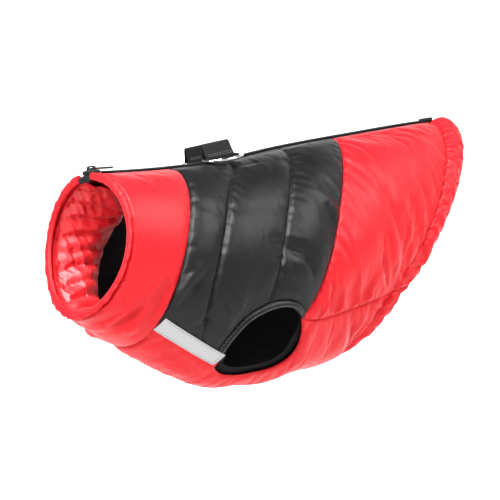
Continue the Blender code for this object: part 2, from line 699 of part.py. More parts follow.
def seat(along, out):
    """The frame on the spine at a place along: X along the zip, Y across it, Z out."""
    lengthwise = courses(along, 0)[0].normalized()
    up = outward(along, 0)
    across = up.cross(lengthwise)
    turn = Matrix((lengthwise, across, up)).transposed().to_4x4()
    return Matrix.Translation(skin(along, 0, out) * MM) @ turn


def block(name, sizes, finish, bevel=0.5):
    """A block with its base at z = 0, as long and high as told and narrowing from front to rear."""
    length, front_half, rear_half, height = sizes
    shape = bmesh.new()
    bmesh.ops.create_cube(shape, size=1)
    for vertex in shape.verts:
        half = front_half if vertex.co.x < 0 else rear_half
        vertex.co = Vector((vertex.co.x * length, vertex.co.y * 2 * half, (vertex.co.z + 0.5) * height)) * MM
    mesh = bpy.data.meshes.new(name)
    shape.to_mesh(mesh)
    shape.free()
    piece = new_object(name, mesh, finish)
    rounding = piece.modifiers.new("rounding", "BEVEL")
    rounding.width = bevel * MM
    rounding.segments = 2
    return piece


def strip(name, path, thickness, width, finish):
    """A strip that follows a path of (x, z) points, with its width across them, along y."""
    layers = ([], [])
    for i, (x, z) in enumerate(path):
        before, after = path[max(i - 1, 0)], path[min(i + 1, len(path) - 1)]
        run = Vector((after[0] - before[0], 0, after[1] - before[1])).normalized()
        up = Vector((-run.z, 0, run.x)) * thickness / 2
        for layer, sign in zip(layers, (1, -1)):
            layer.append([Vector((x, y, z)) + up * sign for y in (-width / 2, 0, width / 2)])
    return wall(name, *layers, finish)


def make_slider():
    """The zip's slider, a body with a bridge over it that holds the pull tab."""
    body = block("zip_slider", (SLIDER_LENGTH, SLIDER_FRONT_HALF, SLIDER_REAR_HALF, SLIDER_TOP - SLIDER_BOTTOM),
                 BLACK_METAL)
    body.matrix_world = seat(SLIDER_ALONG, SLIDER_BOTTOM)
    base = SLIDER_TOP - SLIDER_BOTTOM
    crown = BRIDGE_TOP - SLIDER_BOTTOM
    half = BRIDGE_HALF_LENGTH
    path = ((-half, base - 0.7), (-half, base + 0.8), (-half + 0.25, crown - 0.4), (-half + 0.9, crown),
            (half - 0.9, crown), (half - 0.25, crown - 0.4), (half, base + 0.8), (half, base - 0.7))
    bridge = strip("bridge", path, BRIDGE_THICKNESS, BRIDGE_WIDTH, BLACK_METAL)
    bridge.matrix_world = body.matrix_world
    bpy.data.collections["dog_winter_jacket"].objects.unlink(bridge)
    bpy.data.collections["cutters"].objects.link(bridge)
    bridge.hide_render = True
    bridge.display_type = "WIRE"
    join = body.modifiers.new("bridge", "BOOLEAN")
    join.operation = "UNION"
    join.object = bridge


def make_pull():
    """The pull tab, a plate with a window that the slider's bridge passes through."""
    outline = [(-PULL_BAR_HALF, PULL_NECK_HALF), (PULL_WINDOW_END + 1.5, PULL_NECK_HALF)]
    tip = 6
    centre = PULL_LENGTH - PULL_GRIP_HALF
    for k in range(tip + 1):
        angle = math.pi / 2 * (1 - k / tip)
        outline.append((centre + PULL_GRIP_HALF * math.cos(angle), PULL_GRIP_HALF * math.sin(angle)))
    outline += [(x, -y) for x, y in reversed(outline[:-1])]
    window = [(PULL_BAR_HALF, PULL_WINDOW_HALF), (PULL_BAR_HALF, -PULL_WINDOW_HALF),
              (PULL_WINDOW_END, -PULL_WINDOW_HALF), (PULL_WINDOW_END, PULL_WINDOW_HALF)]
    plate = bpy.data.curves.new("zip_pull", "CURVE")
    plate.dimensions = "2D"
    plate.fill_mode = "BOTH"
    plate.extrude = PULL_THICKNESS / 2 * MM
    for line in (outline, window):
        spline = plate.splines.new("POLY")
        spline.points.add(len(line) - 1)
        for point, (x, y) in zip(spline.points, line):
            point.co = (x * MM, y * MM, 0, 1)
        spline.use_cyclic_u = True
    pull = new_object("zip_pull", plate, BLACK_METAL)
    pull.matrix_world = seat(SLIDER_ALONG, PULL_AXIS_OUT)


def loop_frame(side):
    """The frame of a webbing loop: X along the coat, Z out of it, with the loop's base at the origin."""
    along = read_table([(ring.top_x, ring.along) for ring in RINGS], LOOP_X)[0]
    around = crosswise(along, LOOP_Y * side)
    base = skin(along, around, FACE + LOOP_CLEARANCE)
    up = outward(along, around)
    turn = Matrix.Rotation(math.atan2(-up.y, up.z), 4, "X")
    return Matrix.Translation(Vector((LOOP_X, base.y, base.z)) * MM) @ turn


def make_loop(name, side):
    """A webbing loop that stands beside the zip, folded round the bar of its D-ring."""
    half = WEBBING / 2
    eye = WIRE_RADIUS + SEAM_GAP + half
    rise = ((0.3, half), (eye - 0.55, half), (eye - 0.12, half + 0.25), (eye, half + 0.9), (eye, 4.3),
            (1.45, 8.0), (1.0, 11.6), (0.72, 12.8))
    path = list(rise) + [(0.0, 13.4)] + [(-y, z) for y, z in reversed(rise)]
    lean = math.tan(math.radians(LOOP_LEAN)) * side
    path = [(y + max(0, z - LOOP_LEAN_START) * lean, z) for y, z in path]
    loop = strip("loop_" + name, path, WEBBING, LOOP_LENGTH, BLACK_WEBBING)
    quarter = Matrix.Rotation(math.radians(90), 4, "Z")
    loop.data.transform(quarter)
    loop.matrix_world = loop_frame(side)


def make_ring(name, side):
    """A D-ring of wire, with its bar in the webbing loop and its bow lying out on the yoke."""
    straight = RING_HALF_WIDTH - RING_CORNER
    half = [(0, 0), (straight / 2, 0)]
    for k in range(4):
        angle = math.radians(30 * k)
        half.append((straight + RING_CORNER * math.sin(angle), RING_CORNER * (1 - math.cos(angle))))
    for k in range(8):
        angle = math.pi / 2 * k / 7
        half.append((RING_HALF_WIDTH * math.cos(angle),
                     RING_SHOULDER + (RING_DEPTH - RING_SHOULDER) * math.sin(angle)))
    outline = half + [(-x, y) for x, y in reversed(half[1:-1])]
    wire = bpy.data.curves.new("ring_" + name, "CURVE")
    wire.dimensions = "3D"
    wire.bevel_depth = WIRE_RADIUS * MM
    wire.bevel_resolution = 2
    wire.use_fill_caps = True
    spline = wire.splines.new("POLY")
    spline.points.add(len(outline) - 1)
    for point, (x, y) in zip(spline.points, outline):
        point.co = (x * MM, -y * side * MM, 0, 1)
    spline.use_cyclic_u = True
    ring = new_object("ring_" + name, wire, CHROME)
    bar = loop_frame(side) @ Vector((0, 0, WIRE_OUT * MM))
    ring.matrix_world = Matrix.Translation(bar) @ Matrix.Rotation(math.radians(RING_REST) * side, 4, "X")


def make_tape(name, side):
    """The reflective tape over the seam of yoke and chest."""
    stops = [COLLAR_SEAM + 0.7] + list(CHEST_SEAM_STOPS[1:]) + [ARMHOLE_FRONT - 0.4]
    seam = [Edge(along, chest_seam(along)) for along in stops]
    lines = [beside(seam, TAPE_WIDTH / 2 * share) for share in (-1, -0.5, 0, 0.5, 1)]
    places = [[(line[i][0], line[i][1] * side) for line in lines] for i in range(len(seam))]
    lift = FACE + TAPE_LIFT
    panel("tape_" + name, places, plain(lift + TAPE_THICKNESS), plain(lift), REFLECTIVE, seams=False)


def main():
    """Build the jacket."""
    for item in list(bpy.data.objects):
        bpy.data.objects.remove(item)
    for name in ("dog_winter_jacket", "cutters"):
        bpy.context.scene.collection.children.link(bpy.data.collections.new(name))
    make_collar()
    make_belly()
    make_belly_lining()
    for name, side in SIDES.items():
        make_yoke(name, side)
        make_back(name, side)
        make_binding(name, side)
        make_lining(name, side)
        make_tape(name, side)
        make_loop(name, side)
        make_ring(name, side)
        make_hem(name, [(at, around * side) for at, around in HEM_SIDE])
    under = belly_places()[-1]
    make_hem("belly", under)
    make_zip()
    make_slider()
    make_pull()


main()
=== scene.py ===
"""The looks of a padded winter jacket for a small dog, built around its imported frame.

Lengths are in millimetres until a mesh is made, and MM makes metres of them. A place on the coat is
a pair (along, around): along is the distance from the neck edge, measured on the spine, and around
is the angle in degrees from the spine (0) over the left side (90) to the belly (180). The right
side has the same angles, less than zero. out is the distance from the coat's form, outwards. A Run
is a line of points with their directions out, and one unit of a UV map is MAP_MM of cloth.
"""
import logging
import math
from dataclasses import astuple, dataclass
from enum import Enum
from typing import ClassVar, Sequence

import bmesh
import bpy
import numpy as np
from mathutils import Matrix, Vector


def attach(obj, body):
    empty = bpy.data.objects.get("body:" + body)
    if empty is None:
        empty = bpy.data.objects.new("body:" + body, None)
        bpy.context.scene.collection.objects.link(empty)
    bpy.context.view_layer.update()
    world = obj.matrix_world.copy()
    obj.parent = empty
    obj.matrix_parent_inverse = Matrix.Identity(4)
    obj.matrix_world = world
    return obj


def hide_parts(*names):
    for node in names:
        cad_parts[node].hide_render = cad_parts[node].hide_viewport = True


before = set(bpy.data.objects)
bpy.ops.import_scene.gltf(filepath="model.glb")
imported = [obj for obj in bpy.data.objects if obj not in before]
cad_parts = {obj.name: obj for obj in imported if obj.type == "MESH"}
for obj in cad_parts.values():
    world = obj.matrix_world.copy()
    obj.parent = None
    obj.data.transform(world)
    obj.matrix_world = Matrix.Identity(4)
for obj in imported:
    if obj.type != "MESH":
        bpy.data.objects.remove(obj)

log = logging.getLogger("dog_winter_jacket")

MM = 0.001
MAP_MM = 100
SAME_PLACE = 1e-6
COAT_MIDDLE = (0.034, 0.0, -0.066)

Array = np.ndarray
Values = Array | float
Run = tuple[Array, Array]
Piece = bpy.types.Object
BMesh = bmesh.types.BMesh


class Side(Enum):
    """The dog's left or right side, with the sign that its angles have."""

    LEFT = 1
    RIGHT = -1

    @property
    def word(self) -> str:
        """The side's name in the names of pieces."""
        return self.name.lower()


class Body(Enum):
    """The frame's bodies."""

    JACKET = "jacket"
    PULL = "zip_pull"
    RING_LEFT = "ring_left"
    RING_RIGHT = "ring_right"


# ---------------------------------------------------------------- curves and the coat's form

class SmoothTable:
    """Smooth curves through the columns of a table, read at values of its first column."""

    def __init__(self, rows: Sequence[Sequence[float]]) -> None:
        """Fit the curves.

        Args:
            rows: the table, its first column rising.
        """
        table = np.array([tuple(row) for row in rows], float)
        self.knots, self.values = table[:, 0], table[:, 1:]
        steps = np.diff(self.knots)[:, None]
        rises = np.diff(self.values, axis=0) / steps
        before, after = steps[:-1], steps[1:]
        between = (rises[1:] * before + rises[:-1] * after) / (before + after)
        self.slopes = np.vstack((rises[:1], between, rises[-1:]))

    def at(self, where: Values) -> Array:
        """Read every curve.

        Args:
            where: values of the first column, in an array of any shape.
        Returns:
            The other columns, on a last axis of their own.
        """
        where = np.asarray(where, float)
        i = np.clip(np.searchsorted(self.knots, where, side="right") - 1, 0, len(self.knots) - 2)
        step = (self.knots[i + 1] - self.knots[i])[..., None]
        t = (where - self.knots[i])[..., None] / step
        return ((2 * t**3 - 3 * t**2 + 1) * self.values[i] + (t**3 - 2 * t**2 + t) * step * self.slopes[i]
                + (3 * t**2 - 2 * t**3) * self.values[i + 1] + (t**3 - t**2) * step * self.slopes[i + 1])


def through(line: Array, stops: Array) -> Array:
    """A smooth curve through the points of a line, read at stops counted in its points."""
    return SmoothTable(np.column_stack((np.arange(len(line)), line))).at(stops)


def ease(value: Values) -> Array:
    """A smooth step from 0 to 1."""
    value = np.clip(value, 0, 1)
    return value * value * (3 - 2 * value)


def unit(vectors: Array) -> Array:
    """Vectors of length 1."""
    return vectors / np.maximum(np.linalg.norm(vectors, axis=-1, keepdims=True), 1e-12)


def near(distance: Values, width: float) -> Array:
    """1 where a distance is 0, falling smoothly to nothing past a width."""
    return np.exp(-(distance / width)**2)


def arch(share: Values, power: float = 1.0) -> Array:
    """An arch over the shares from 0 to 1."""
    return np.maximum(0, np.sin(np.pi * share))**power


def lengths(points: Array, axis: int = 0) -> Array:
    """How far along its line each point lies, for lines that run along an axis."""
    steps = np.diff(points, axis=axis, prepend=points.take([0], axis))
    return np.cumsum(np.linalg.norm(steps, axis=-1), axis=axis)


def read_at(rows: Array, reach: Array, where: Array) -> Array:
    """Rows read at distances along a line, given how far along it each row lies."""
    return np.column_stack([np.interp(where, reach, column) for column in rows.T])


def stops(segments: int, per_segment: int, fine_at: Sequence[int] = ()) -> Array:
    """Even stops over a count of segments, with closer ones beside the points named in fine_at."""
    even = np.arange(segments * per_segment + 1) / per_segment
    close = [point + offset / per_segment for point in fine_at for offset in (-0.65, -0.3, 0.3, 0.65)]
    every = np.unique(np.round(np.concatenate((even, close)), 6))
    return every[(every >= 0) & (every <= segments)]


@dataclass(frozen=True)
class Ring:
    """One section of the coat's form, named by its distance along the spine."""

    along: float
    top_x: float
    top_z: float
    bottom_x: float
    bottom_z: float
    half_width: float
    bow: float


class Form:
    """The smooth surface that every piece of cloth follows."""

    RINGS: ClassVar = (
        Ring(0, -92, 11, -122, -79, 48, 5),
        Ring(70, -24, 3, -87, -108, 54, -7),
        Ring(112, 18, 0, -42, -141, 62, -10),
        Ring(172, 78, 0, -2, -153, 67, -12),
        Ring(242, 148, -2, 42, -155, 63, -8),
        Ring(329, 235, -6, 92, -151, 56, 2),
        Ring(341, 247, -7, 101, -147, 54, 5),
    )
    HALF_STEP: ClassVar = 0.5

    def __init__(self) -> None:
        """Fit the form through its sections."""
        self.table = SmoothTable([astuple(ring) for ring in self.RINGS])

    def point(self, along: Values, around: Values) -> Array:
        """Points of the form, in mm."""
        top_x, top_z, bottom_x, bottom_z, half_width, bow = np.moveaxis(self.table.at(along), -1, 0)
        angle = np.radians(around)
        down, side = (1 - np.cos(angle)) / 2, np.sin(angle)
        return np.stack((top_x + (bottom_x - top_x) * down + bow * side**2, -half_width * side,
                         top_z + (bottom_z - top_z) * down), -1)

    def courses(self, along: Values, around: Values) -> Run:
        """How a point moves for one unit along and for one degree around."""
        half = self.HALF_STEP
        return (self.point(along + half, around) - self.point(along - half, around),
                self.point(along, around + half) - self.point(along, around - half))

    def outward(self, along: Values, around: Values) -> Array:
        """Directions out of the coat."""
        lengthwise, crosswise = self.courses(np.asarray(along, float), np.asarray(around, float))
        return unit(np.cross(crosswise, lengthwise))

    def skin(self, along: Values, around: Values, out: Values) -> Array:
        """Points at a distance out from places."""
        return self.point(along, around) + self.outward(along, around) * np.asarray(out, float)[..., None]

    def crosswise(self, along: Values, y: Values) -> Array:
        """The angles at which the form is y to the left of the middle."""
        half_width = self.table.at(along)[..., 4]
        return np.degrees(np.arcsin(y / half_width))

    def beside(self, line: Array, distance: float) -> Array:
        """A line of places moved over the coat, to the left of its course as seen from outside."""
        points = self.point(line[:, 0], line[:, 1])
        padded = np.concatenate((points[:1], points, points[-1:]))
        move = unit(np.cross(self.outward(line[:, 0], line[:, 1]), padded[2:] - padded[:-2])) * distance
        a, b = self.courses(line[:, 0], line[:, 1])
        aa, ab, bb = (a * a).sum(-1), (a * b).sum(-1), (b * b).sum(-1)
        am, bm = (a * move).sum(-1), (b * move).sum(-1)
        scale = aa * bb - ab * ab
        return line + np.column_stack(((am * bb - bm * ab) / scale, (bm * aa - am * ab) / scale))

    def smooth_line(self, rows: Sequence[Sequence[float]], where: Array) -> Array:
        """Rows on a smooth curve through a table of places, read at shares of its length."""
        rows = np.array(rows, float)
        reach = lengths(self.point(rows[:, 0], rows[:, 1]))
        return SmoothTable(np.column_stack((reach, rows))).at(where * reach[-1])


FORM = Form()


# ---------------------------------------------------------------- the pattern: seams of the coat

@dataclass(frozen=True)
class Channel:
    """A padded channel of the yoke: its rows, and how they crowd to its front beside the zip."""

    rows: int
    crowd: float


class Pattern:
    """The seams that neighbouring panels share, as tables of places and lines worked out from them."""

    BELLY: ClassVar = 180.0
    COLLAR_SEAM: ClassVar = 69.0
    HEM_EDGE: ClassVar = 341.0
    ZIP_HALF: ClassVar = 7.5
    CHEST_SEAM_START: ClassVar = 141.0
    CHEST_SEAM_END: ClassVar = 147.8
    ARMHOLE_FRONT: ClassVar = 112.0
    BINDING_WIDTH: ClassVar = 5.0
    CHANNELS: ClassVar = (Channel(5, 1), Channel(11, 1.5), Channel(6, 1))
    BACK_ROWS: ClassVar = 14
    ARMHOLE_TOP_ROWS: ClassVar = 15
    ARMHOLE_BOTTOM_ROWS: ClassVar = 13
    # (around, along)
    FIRST_QUILTING: ClassVar = ((0, 118), (25, 112), (47, 101), (67, 96), (90, 93), (120, 93))
    SECOND_QUILTING: ClassVar = ((0, 170), (24, 164), (53, 153), (74, 147), (92, 144))
    YOKE_SEAM: ClassVar = ((0, 224), (38, 211), (67, 204), (97, 200), (112, 194), (121, 186))
    HEM_SEAM: ClassVar = ((0, 324), (35, 321), (90, 321), (106, 318), (121, 311), (150, 311), (180, 316))
    # (along, around)
    ARMHOLE_TOP: ClassVar = ((112, 147.8), (112.5, 138), (116, 128), (124, 119), (138, 114), (155, 112.8),
                             (172, 115), (186, 121))
    # (along, around, where it meets the belly's middle, lead)
    ARMHOLE_BOTTOM: ClassVar = (
        (112, 147.8, 112, 0), (114, 157, 115, 0), (122, 161.5, 122, 0), (140, 162.5, 140, 0),
        (160, 162, 160, 2), (178, 159.5, 179, 5), (193, 154.5, 195, 15), (201, 147, 206, 38),
        (199.5, 137, 216, 75), (194, 129, 224, 105), (186, 121, 231, 120))
    BELLY_SEAM: ClassVar = (
        (186, 121, 231, 120), (202, 123.5, 238, 100), (226, 124.5, 252, 60), (255, 124, 272, 30),
        (285, 122, 294, 12), (311, 121, 316, 6))
    CHEST_STOPS: ClassVar = (69, 74.5, 80, 86, 91.5, 97, 101.5, 106.3)

    def __init__(self) -> None:
        """Work out the shared lines."""
        self.yoke_seam, self.hem_seam = SmoothTable(self.YOKE_SEAM), SmoothTable(self.HEM_SEAM)
        chest = np.array(self.CHEST_STOPS, float)
        self.chest_line = np.column_stack((chest, self.chest_seam(chest)))
        shares = np.arange(self.ARMHOLE_TOP_ROWS + 1) / self.ARMHOLE_TOP_ROWS
        self.armhole_edge = FORM.smooth_line(self.ARMHOLE_TOP, shares)
        binding = FORM.beside(self.armhole_edge, self.BINDING_WIDTH)
        binding[0] = self.chest_line[-1]
        binding[-1] = (self.yoke_seam.at(binding[-1, 1])[0], binding[-1, 1])
        self.binding_line = binding

    def chest_seam(self, along: Array) -> Array:
        """The angle of the seam between yoke and chest panel."""
        share = (along - self.COLLAR_SEAM) / (self.ARMHOLE_FRONT - self.COLLAR_SEAM)
        return self.CHEST_SEAM_START + (self.CHEST_SEAM_END - self.CHEST_SEAM_START) * share

    def zip_edge(self, along: Values) -> Array:
        """The angle at which a panel ends beside the zip."""
        return FORM.crosswise(along, self.ZIP_HALF)

    def yoke_lower(self, where: Array) -> Array:
        """The yoke's lower edge, over the chest seam and then the binding, at stops in its rows."""
        corner = len(self.chest_line) - 1
        over_chest = through(self.chest_line, np.minimum(where, corner))
        over_binding = through(self.binding_line, np.clip(where - corner, 0, None))
        return np.where((where <= corner)[:, None], over_chest, over_binding)

    def crossing(self, table: Sequence[Sequence[float]], end: Array, shares: Array) -> Array:
        """Places at shares of a seam that runs round the coat, from the zip to an end place."""
        rows = list(table) + ([(end[1], end[0])] if table[-1][0] < end[1] else [])
        start = self.zip_edge(table[0][1])
        around = start + (end[1] - start) * shares
        return np.column_stack((SmoothTable(rows).at(around)[:, 0], around))

    def yoke_lines(self, shares: Array) -> list[Array]:
        """The collar seam, both quilting lines and the yoke's rear seam, at shares of each."""
        start = self.zip_edge(self.COLLAR_SEAM)
        collar = np.column_stack((np.full(len(shares), self.COLLAR_SEAM),
                                  start + (self.CHEST_SEAM_START - start) * shares))
        stop = 0
        lines = [collar]
        for table, channel in zip((self.FIRST_QUILTING, self.SECOND_QUILTING, self.YOKE_SEAM), self.CHANNELS):
            stop += channel.rows
            lines.append(self.crossing(table, self.yoke_lower(np.array([float(stop)]))[0], shares))
        return lines

    def from_spine(self, around: Array) -> Array:
        """Angles from the spine, of angles that count on past the belly to the right side."""
        return np.minimum(around, 2 * self.BELLY - around)

    def hem(self, around: Array) -> Array:
        """Places on the hem seam, at angles that may count on past the belly."""
        return np.column_stack((self.hem_seam.at(self.from_spine(around))[:, 0], around))

    @staticmethod
    def patch(top: Array, bottom: Array, start: Array, end: Array, down: Array, across: Array) -> Array:
        """Places over an area between four sides.

        Args:
            top, bottom: the sides where the rows begin and end.
            start, end: the first and the last row.
            down, across: how far over the area each row and each column lies, from 0 to 1.
        Returns:
            The places, as rows, columns and (along, around).
        """
        u, v = down[:, None, None], across[None, :, None]
        rows = (1 - v) * top[:, None] + v * bottom[:, None]
        return rows + (1 - u) * (start[None] - rows[:1]) + u * (end[None] - rows[-1:])


PATTERN = Pattern()


# ---------------------------------------------------------------- folds and crinkles

@dataclass(frozen=True)
class Fold:
    """A ridge (height above zero) or crease (below) between two places. A sharp one has a narrow foot."""

    along: float
    around: float
    to_along: float
    to_around: float
    width: float
    height: float
    sharp: bool = False

    ALONG_MM: ClassVar = 0.8
    AROUND_MM: ClassVar = 1.2
    TAPER: ClassVar = 0.45
    SHARPNESS: ClassVar = 1.6

    def lift(self, along: Array, around: Array) -> Array:
        """The height that the fold gives places, whose angles are counted from the spine."""
        run = np.array(((self.to_along - self.along) * self.ALONG_MM,
                        (self.to_around - self.around) * self.AROUND_MM))
        to_a, to_b = (along - self.along) * self.ALONG_MM, (around - self.around) * self.AROUND_MM
        share = np.clip((run[0] * to_a + run[1] * to_b) / (run @ run), 0, 1)
        distance = np.hypot(to_a - run[0] * share, to_b - run[1] * share) / self.width
        taper = 1 - self.TAPER * np.abs(2 * share - 1)**3
        if self.sharp:
            return self.height * taper * np.clip(1 - distance, 0, 1)**self.SHARPNESS
        return self.height * taper * np.clip(1 - distance**2, 0, 1)**2


class Crinkle:
    """Smooth random heights from -1 to 1, the same in each run for the same seed."""

    SIZE: ClassVar = 128

    def __init__(self, seed: int) -> None:
        """Fill the lattice."""
        self.lattice = np.random.default_rng(seed).uniform(-1, 1, (self.SIZE, self.SIZE))

    def at(self, u: Array, v: Array) -> Array:
        """Heights at places counted in lattice steps."""
        i, j = np.floor(u).astype(int), np.floor(v).astype(int)
        s, t = ease(u - i), ease(v - j)
        n = self.SIZE
        corner = [[self.lattice[(i + a) % n, (j + b) % n] for b in (0, 1)] for a in (0, 1)]
        return ((corner[0][0] * (1 - t) + corner[0][1] * t) * (1 - s)
                + (corner[1][0] * (1 - t) + corner[1][1] * t) * s)

    def ridges(self, u: Array, v: Array) -> Array:
        """Narrow ridges between wide hollows, from 0 to 1."""
        return (1 - np.abs(self.at(u, v)))**2


# ---------------------------------------------------------------- meshes

def linked(name: str, data: bpy.types.ID) -> Piece:
    """A new object in the scene."""
    thing = bpy.data.objects.new(name, data)
    bpy.context.scene.collection.objects.link(thing)
    return thing


def finished(name: str, mesh: bpy.types.Mesh, sharp_degrees: float = 60) -> Piece:
    """An object of a mesh, shaded smooth but for its sharp edges."""
    mesh.shade_smooth()
    mesh.set_sharp_from_angle(angle=math.radians(sharp_degrees))
    return linked(name, mesh)


def placed(shape: BMesh, name: str) -> bpy.types.Mesh:
    """A mesh of a bmesh, which is freed."""
    mesh = bpy.data.meshes.new(name)
    shape.to_mesh(mesh)
    shape.free()
    return mesh


def net(name: str, outer: Array, inner: Array | None = None
        ) -> tuple[bpy.types.Mesh, Array, Array, Array]:
    """A net over a grid of points in mm, or a closed wall between two of them.

    Args:
        name: the mesh's name.
        outer: points as rows and columns.
        inner: the points of the wall's other face.
    Returns:
        The mesh, and the row, the column and the face of each of its vertices.
    """
    rows, columns = outer.shape[:2]
    shape = bmesh.new()
    bmesh.ops.create_grid(shape, x_segments=rows - 1, y_segments=columns - 1, size=1)
    layers = [outer]
    if inner is not None:
        made = bmesh.ops.extrude_face_region(shape, geom=shape.faces[:])["geom"]
        upper = [item for item in made if isinstance(item, bmesh.types.BMVert)]
        bmesh.ops.translate(shape, vec=(0, 0, 1), verts=upper)
        bmesh.ops.recalc_face_normals(shape, faces=shape.faces)
        middle = (slice(rows // 4, rows // 4 + 1), slice(columns // 2, columns // 2 + 1))
        lengthwise, crosswise = (np.gradient(outer, axis=axis)[middle] for axis in (0, 1))
        faces_out = (np.cross(lengthwise, crosswise) * (outer - inner)[middle]).sum() > 0
        layers = [inner, outer] if faces_out else [outer, inner]
    mesh = placed(shape, name)
    flat = np.empty(len(mesh.vertices) * 3, np.float32)
    mesh.vertices.foreach_get("co", flat)
    flat = flat.reshape(-1, 3)
    i = np.rint((flat[:, 0] + 1) / 2 * (rows - 1)).astype(int)
    j = np.rint((flat[:, 1] + 1) / 2 * (columns - 1)).astype(int)
    layer = (flat[:, 2] > 0.5).astype(int)
    points = np.stack(layers)[layer, i, j] * MM
    mesh.vertices.foreach_set("co", points.astype(np.float32).ravel())
    mesh.update()
    return mesh, i, j, layer


def grid_mesh(name: str, outer: Array, inner: Array | None = None) -> bpy.types.Mesh:
    """A net or a wall as net makes it, with a UV map in which 1 is 100 mm of cloth."""
    mesh, i, j, _ = net(name, outer, inner)
    corners = np.empty(len(mesh.loops), np.int32)
    mesh.loops.foreach_get("vertex_index", corners)
    uv = np.stack([lengths(outer, axis)[i, j][corners] for axis in (0, 1)], -1) / MAP_MM
    mesh.uv_layers.new(name="cloth").data.foreach_set("uv", uv.astype(np.float32).ravel())
    return mesh


def tube_mesh(name: str, path: Array, across: Array, up: Array, section: Array) -> bpy.types.Mesh:
    """A closed tube that runs round a closed path.

    Args:
        name: the mesh's name.
        path: points of the path, in mm.
        across, up: the directions of the section's axes at each point.
        section: points (across, up) of the section, which is closed too.
    Returns:
        The mesh.
    """
    closed_path = np.concatenate((np.arange(len(path)), [0]))
    closed_section = np.concatenate((section, section[:1]))
    points = (path[closed_path, None] + across[closed_path, None] * closed_section[None, :, :1]
              + up[closed_path, None] * closed_section[None, :, 1:])
    mesh = grid_mesh(name, points)
    shape = bmesh.new()
    shape.from_mesh(mesh)
    bmesh.ops.remove_doubles(shape, verts=shape.verts, dist=SAME_PLACE)
    bmesh.ops.recalc_face_normals(shape, faces=shape.faces)
    shape.to_mesh(mesh)
    shape.free()
    return mesh


# ---------------------------------------------------------------- stuffing cloth by simulation

@dataclass(frozen=True)
class Stuffing:
    """How a piece of cloth is cut and filled: its cut is larger than its seams, and the filling swells it."""

    spare: float
    pressure: float
    bend: float = 0.3
    frames: int = 15
    quality: int = 5
    tension: float = 20.0
    scale: float = 20.0
    mass: float = 0.2
    damping: float = 2.0

    def swell(self, points: Array, outwards: Array, sewn: Array) -> Array:
        """Fill the cloth between its seams, by a cloth simulation.

        Args:
            points: the cloth in mm, as rows and columns.
            outwards: its directions out.
            sewn: which points are sewn down.
        Returns:
            The points after the simulation.
        """
        mesh, i, j, _ = net("cut_cloth", points * self.scale)
        cloth = linked("cut_cloth", mesh)
        seams = cloth.vertex_groups.new(name="seams")
        seams.add(np.nonzero(sewn[i, j])[0].tolist(), 1.0, "REPLACE")
        faces = np.cross(np.gradient(points, axis=0), np.gradient(points, axis=1))
        outward = math.copysign(1, float((faces * outwards).sum()))
        modifier = cloth.modifiers.new("cloth", "CLOTH")
        cut = modifier.settings
        cut.quality, cut.mass, cut.air_damping = self.quality, self.mass, self.damping
        cut.tension_stiffness = cut.compression_stiffness = self.tension
        cut.shear_stiffness, cut.bending_stiffness = self.tension / 3, self.bend
        cut.use_pressure, cut.uniform_pressure_force = True, self.pressure * outward
        cut.vertex_group_mass, cut.pin_stiffness = seams.name, 1
        cut.shrink_min = -self.spare
        cut.effector_weights.gravity = 0
        modifier.collision_settings.use_collision = False
        modifier.point_cache.frame_start, modifier.point_cache.frame_end = 1, self.frames
        for frame_number in range(1, self.frames + 1):
            bpy.context.scene.frame_set(frame_number)
        done = cloth.evaluated_get(bpy.context.evaluated_depsgraph_get()).data
        flat = np.empty(len(done.vertices) * 3, np.float32)
        done.vertices.foreach_get("co", flat)
        swollen = np.empty_like(points)
        swollen[i, j] = flat.reshape(-1, 3) / (MM * self.scale)
        bpy.context.scene.frame_set(1)
        bpy.data.objects.remove(cloth)
        bpy.data.meshes.remove(mesh)
        return swollen


# ---------------------------------------------------------------- shaders

class Signal:
    """A shader's output socket. Python's operators on it add Math nodes."""

    def __init__(self, tree: bpy.types.NodeTree, socket: bpy.types.NodeSocket) -> None:
        """Wrap a socket of a tree."""
        self.tree, self.socket = tree, socket

    def _join(self, operation: str, first: "Signal | float", second: "Signal | float") -> "Signal":
        """A Math node on two values."""
        node = self.tree.nodes.new("ShaderNodeMath")
        node.operation = operation
        for port, value in zip(node.inputs, (first, second)):
            if isinstance(value, Signal):
                self.tree.links.new(value.socket, port)
            else:
                port.default_value = value
        return Signal(self.tree, node.outputs[0])

    def __add__(self, other: "Signal | float") -> "Signal":
        """self + other."""
        return self._join("ADD", self, other)

    def __radd__(self, other: float) -> "Signal":
        """other + self."""
        return self._join("ADD", other, self)

    def __sub__(self, other: "Signal | float") -> "Signal":
        """self - other."""
        return self._join("SUBTRACT", self, other)

    def __mul__(self, other: "Signal | float") -> "Signal":
        """self * other."""
        return self._join("MULTIPLY", self, other)

    def __rmul__(self, other: float) -> "Signal":
        """other * self."""
        return self._join("MULTIPLY", other, self)


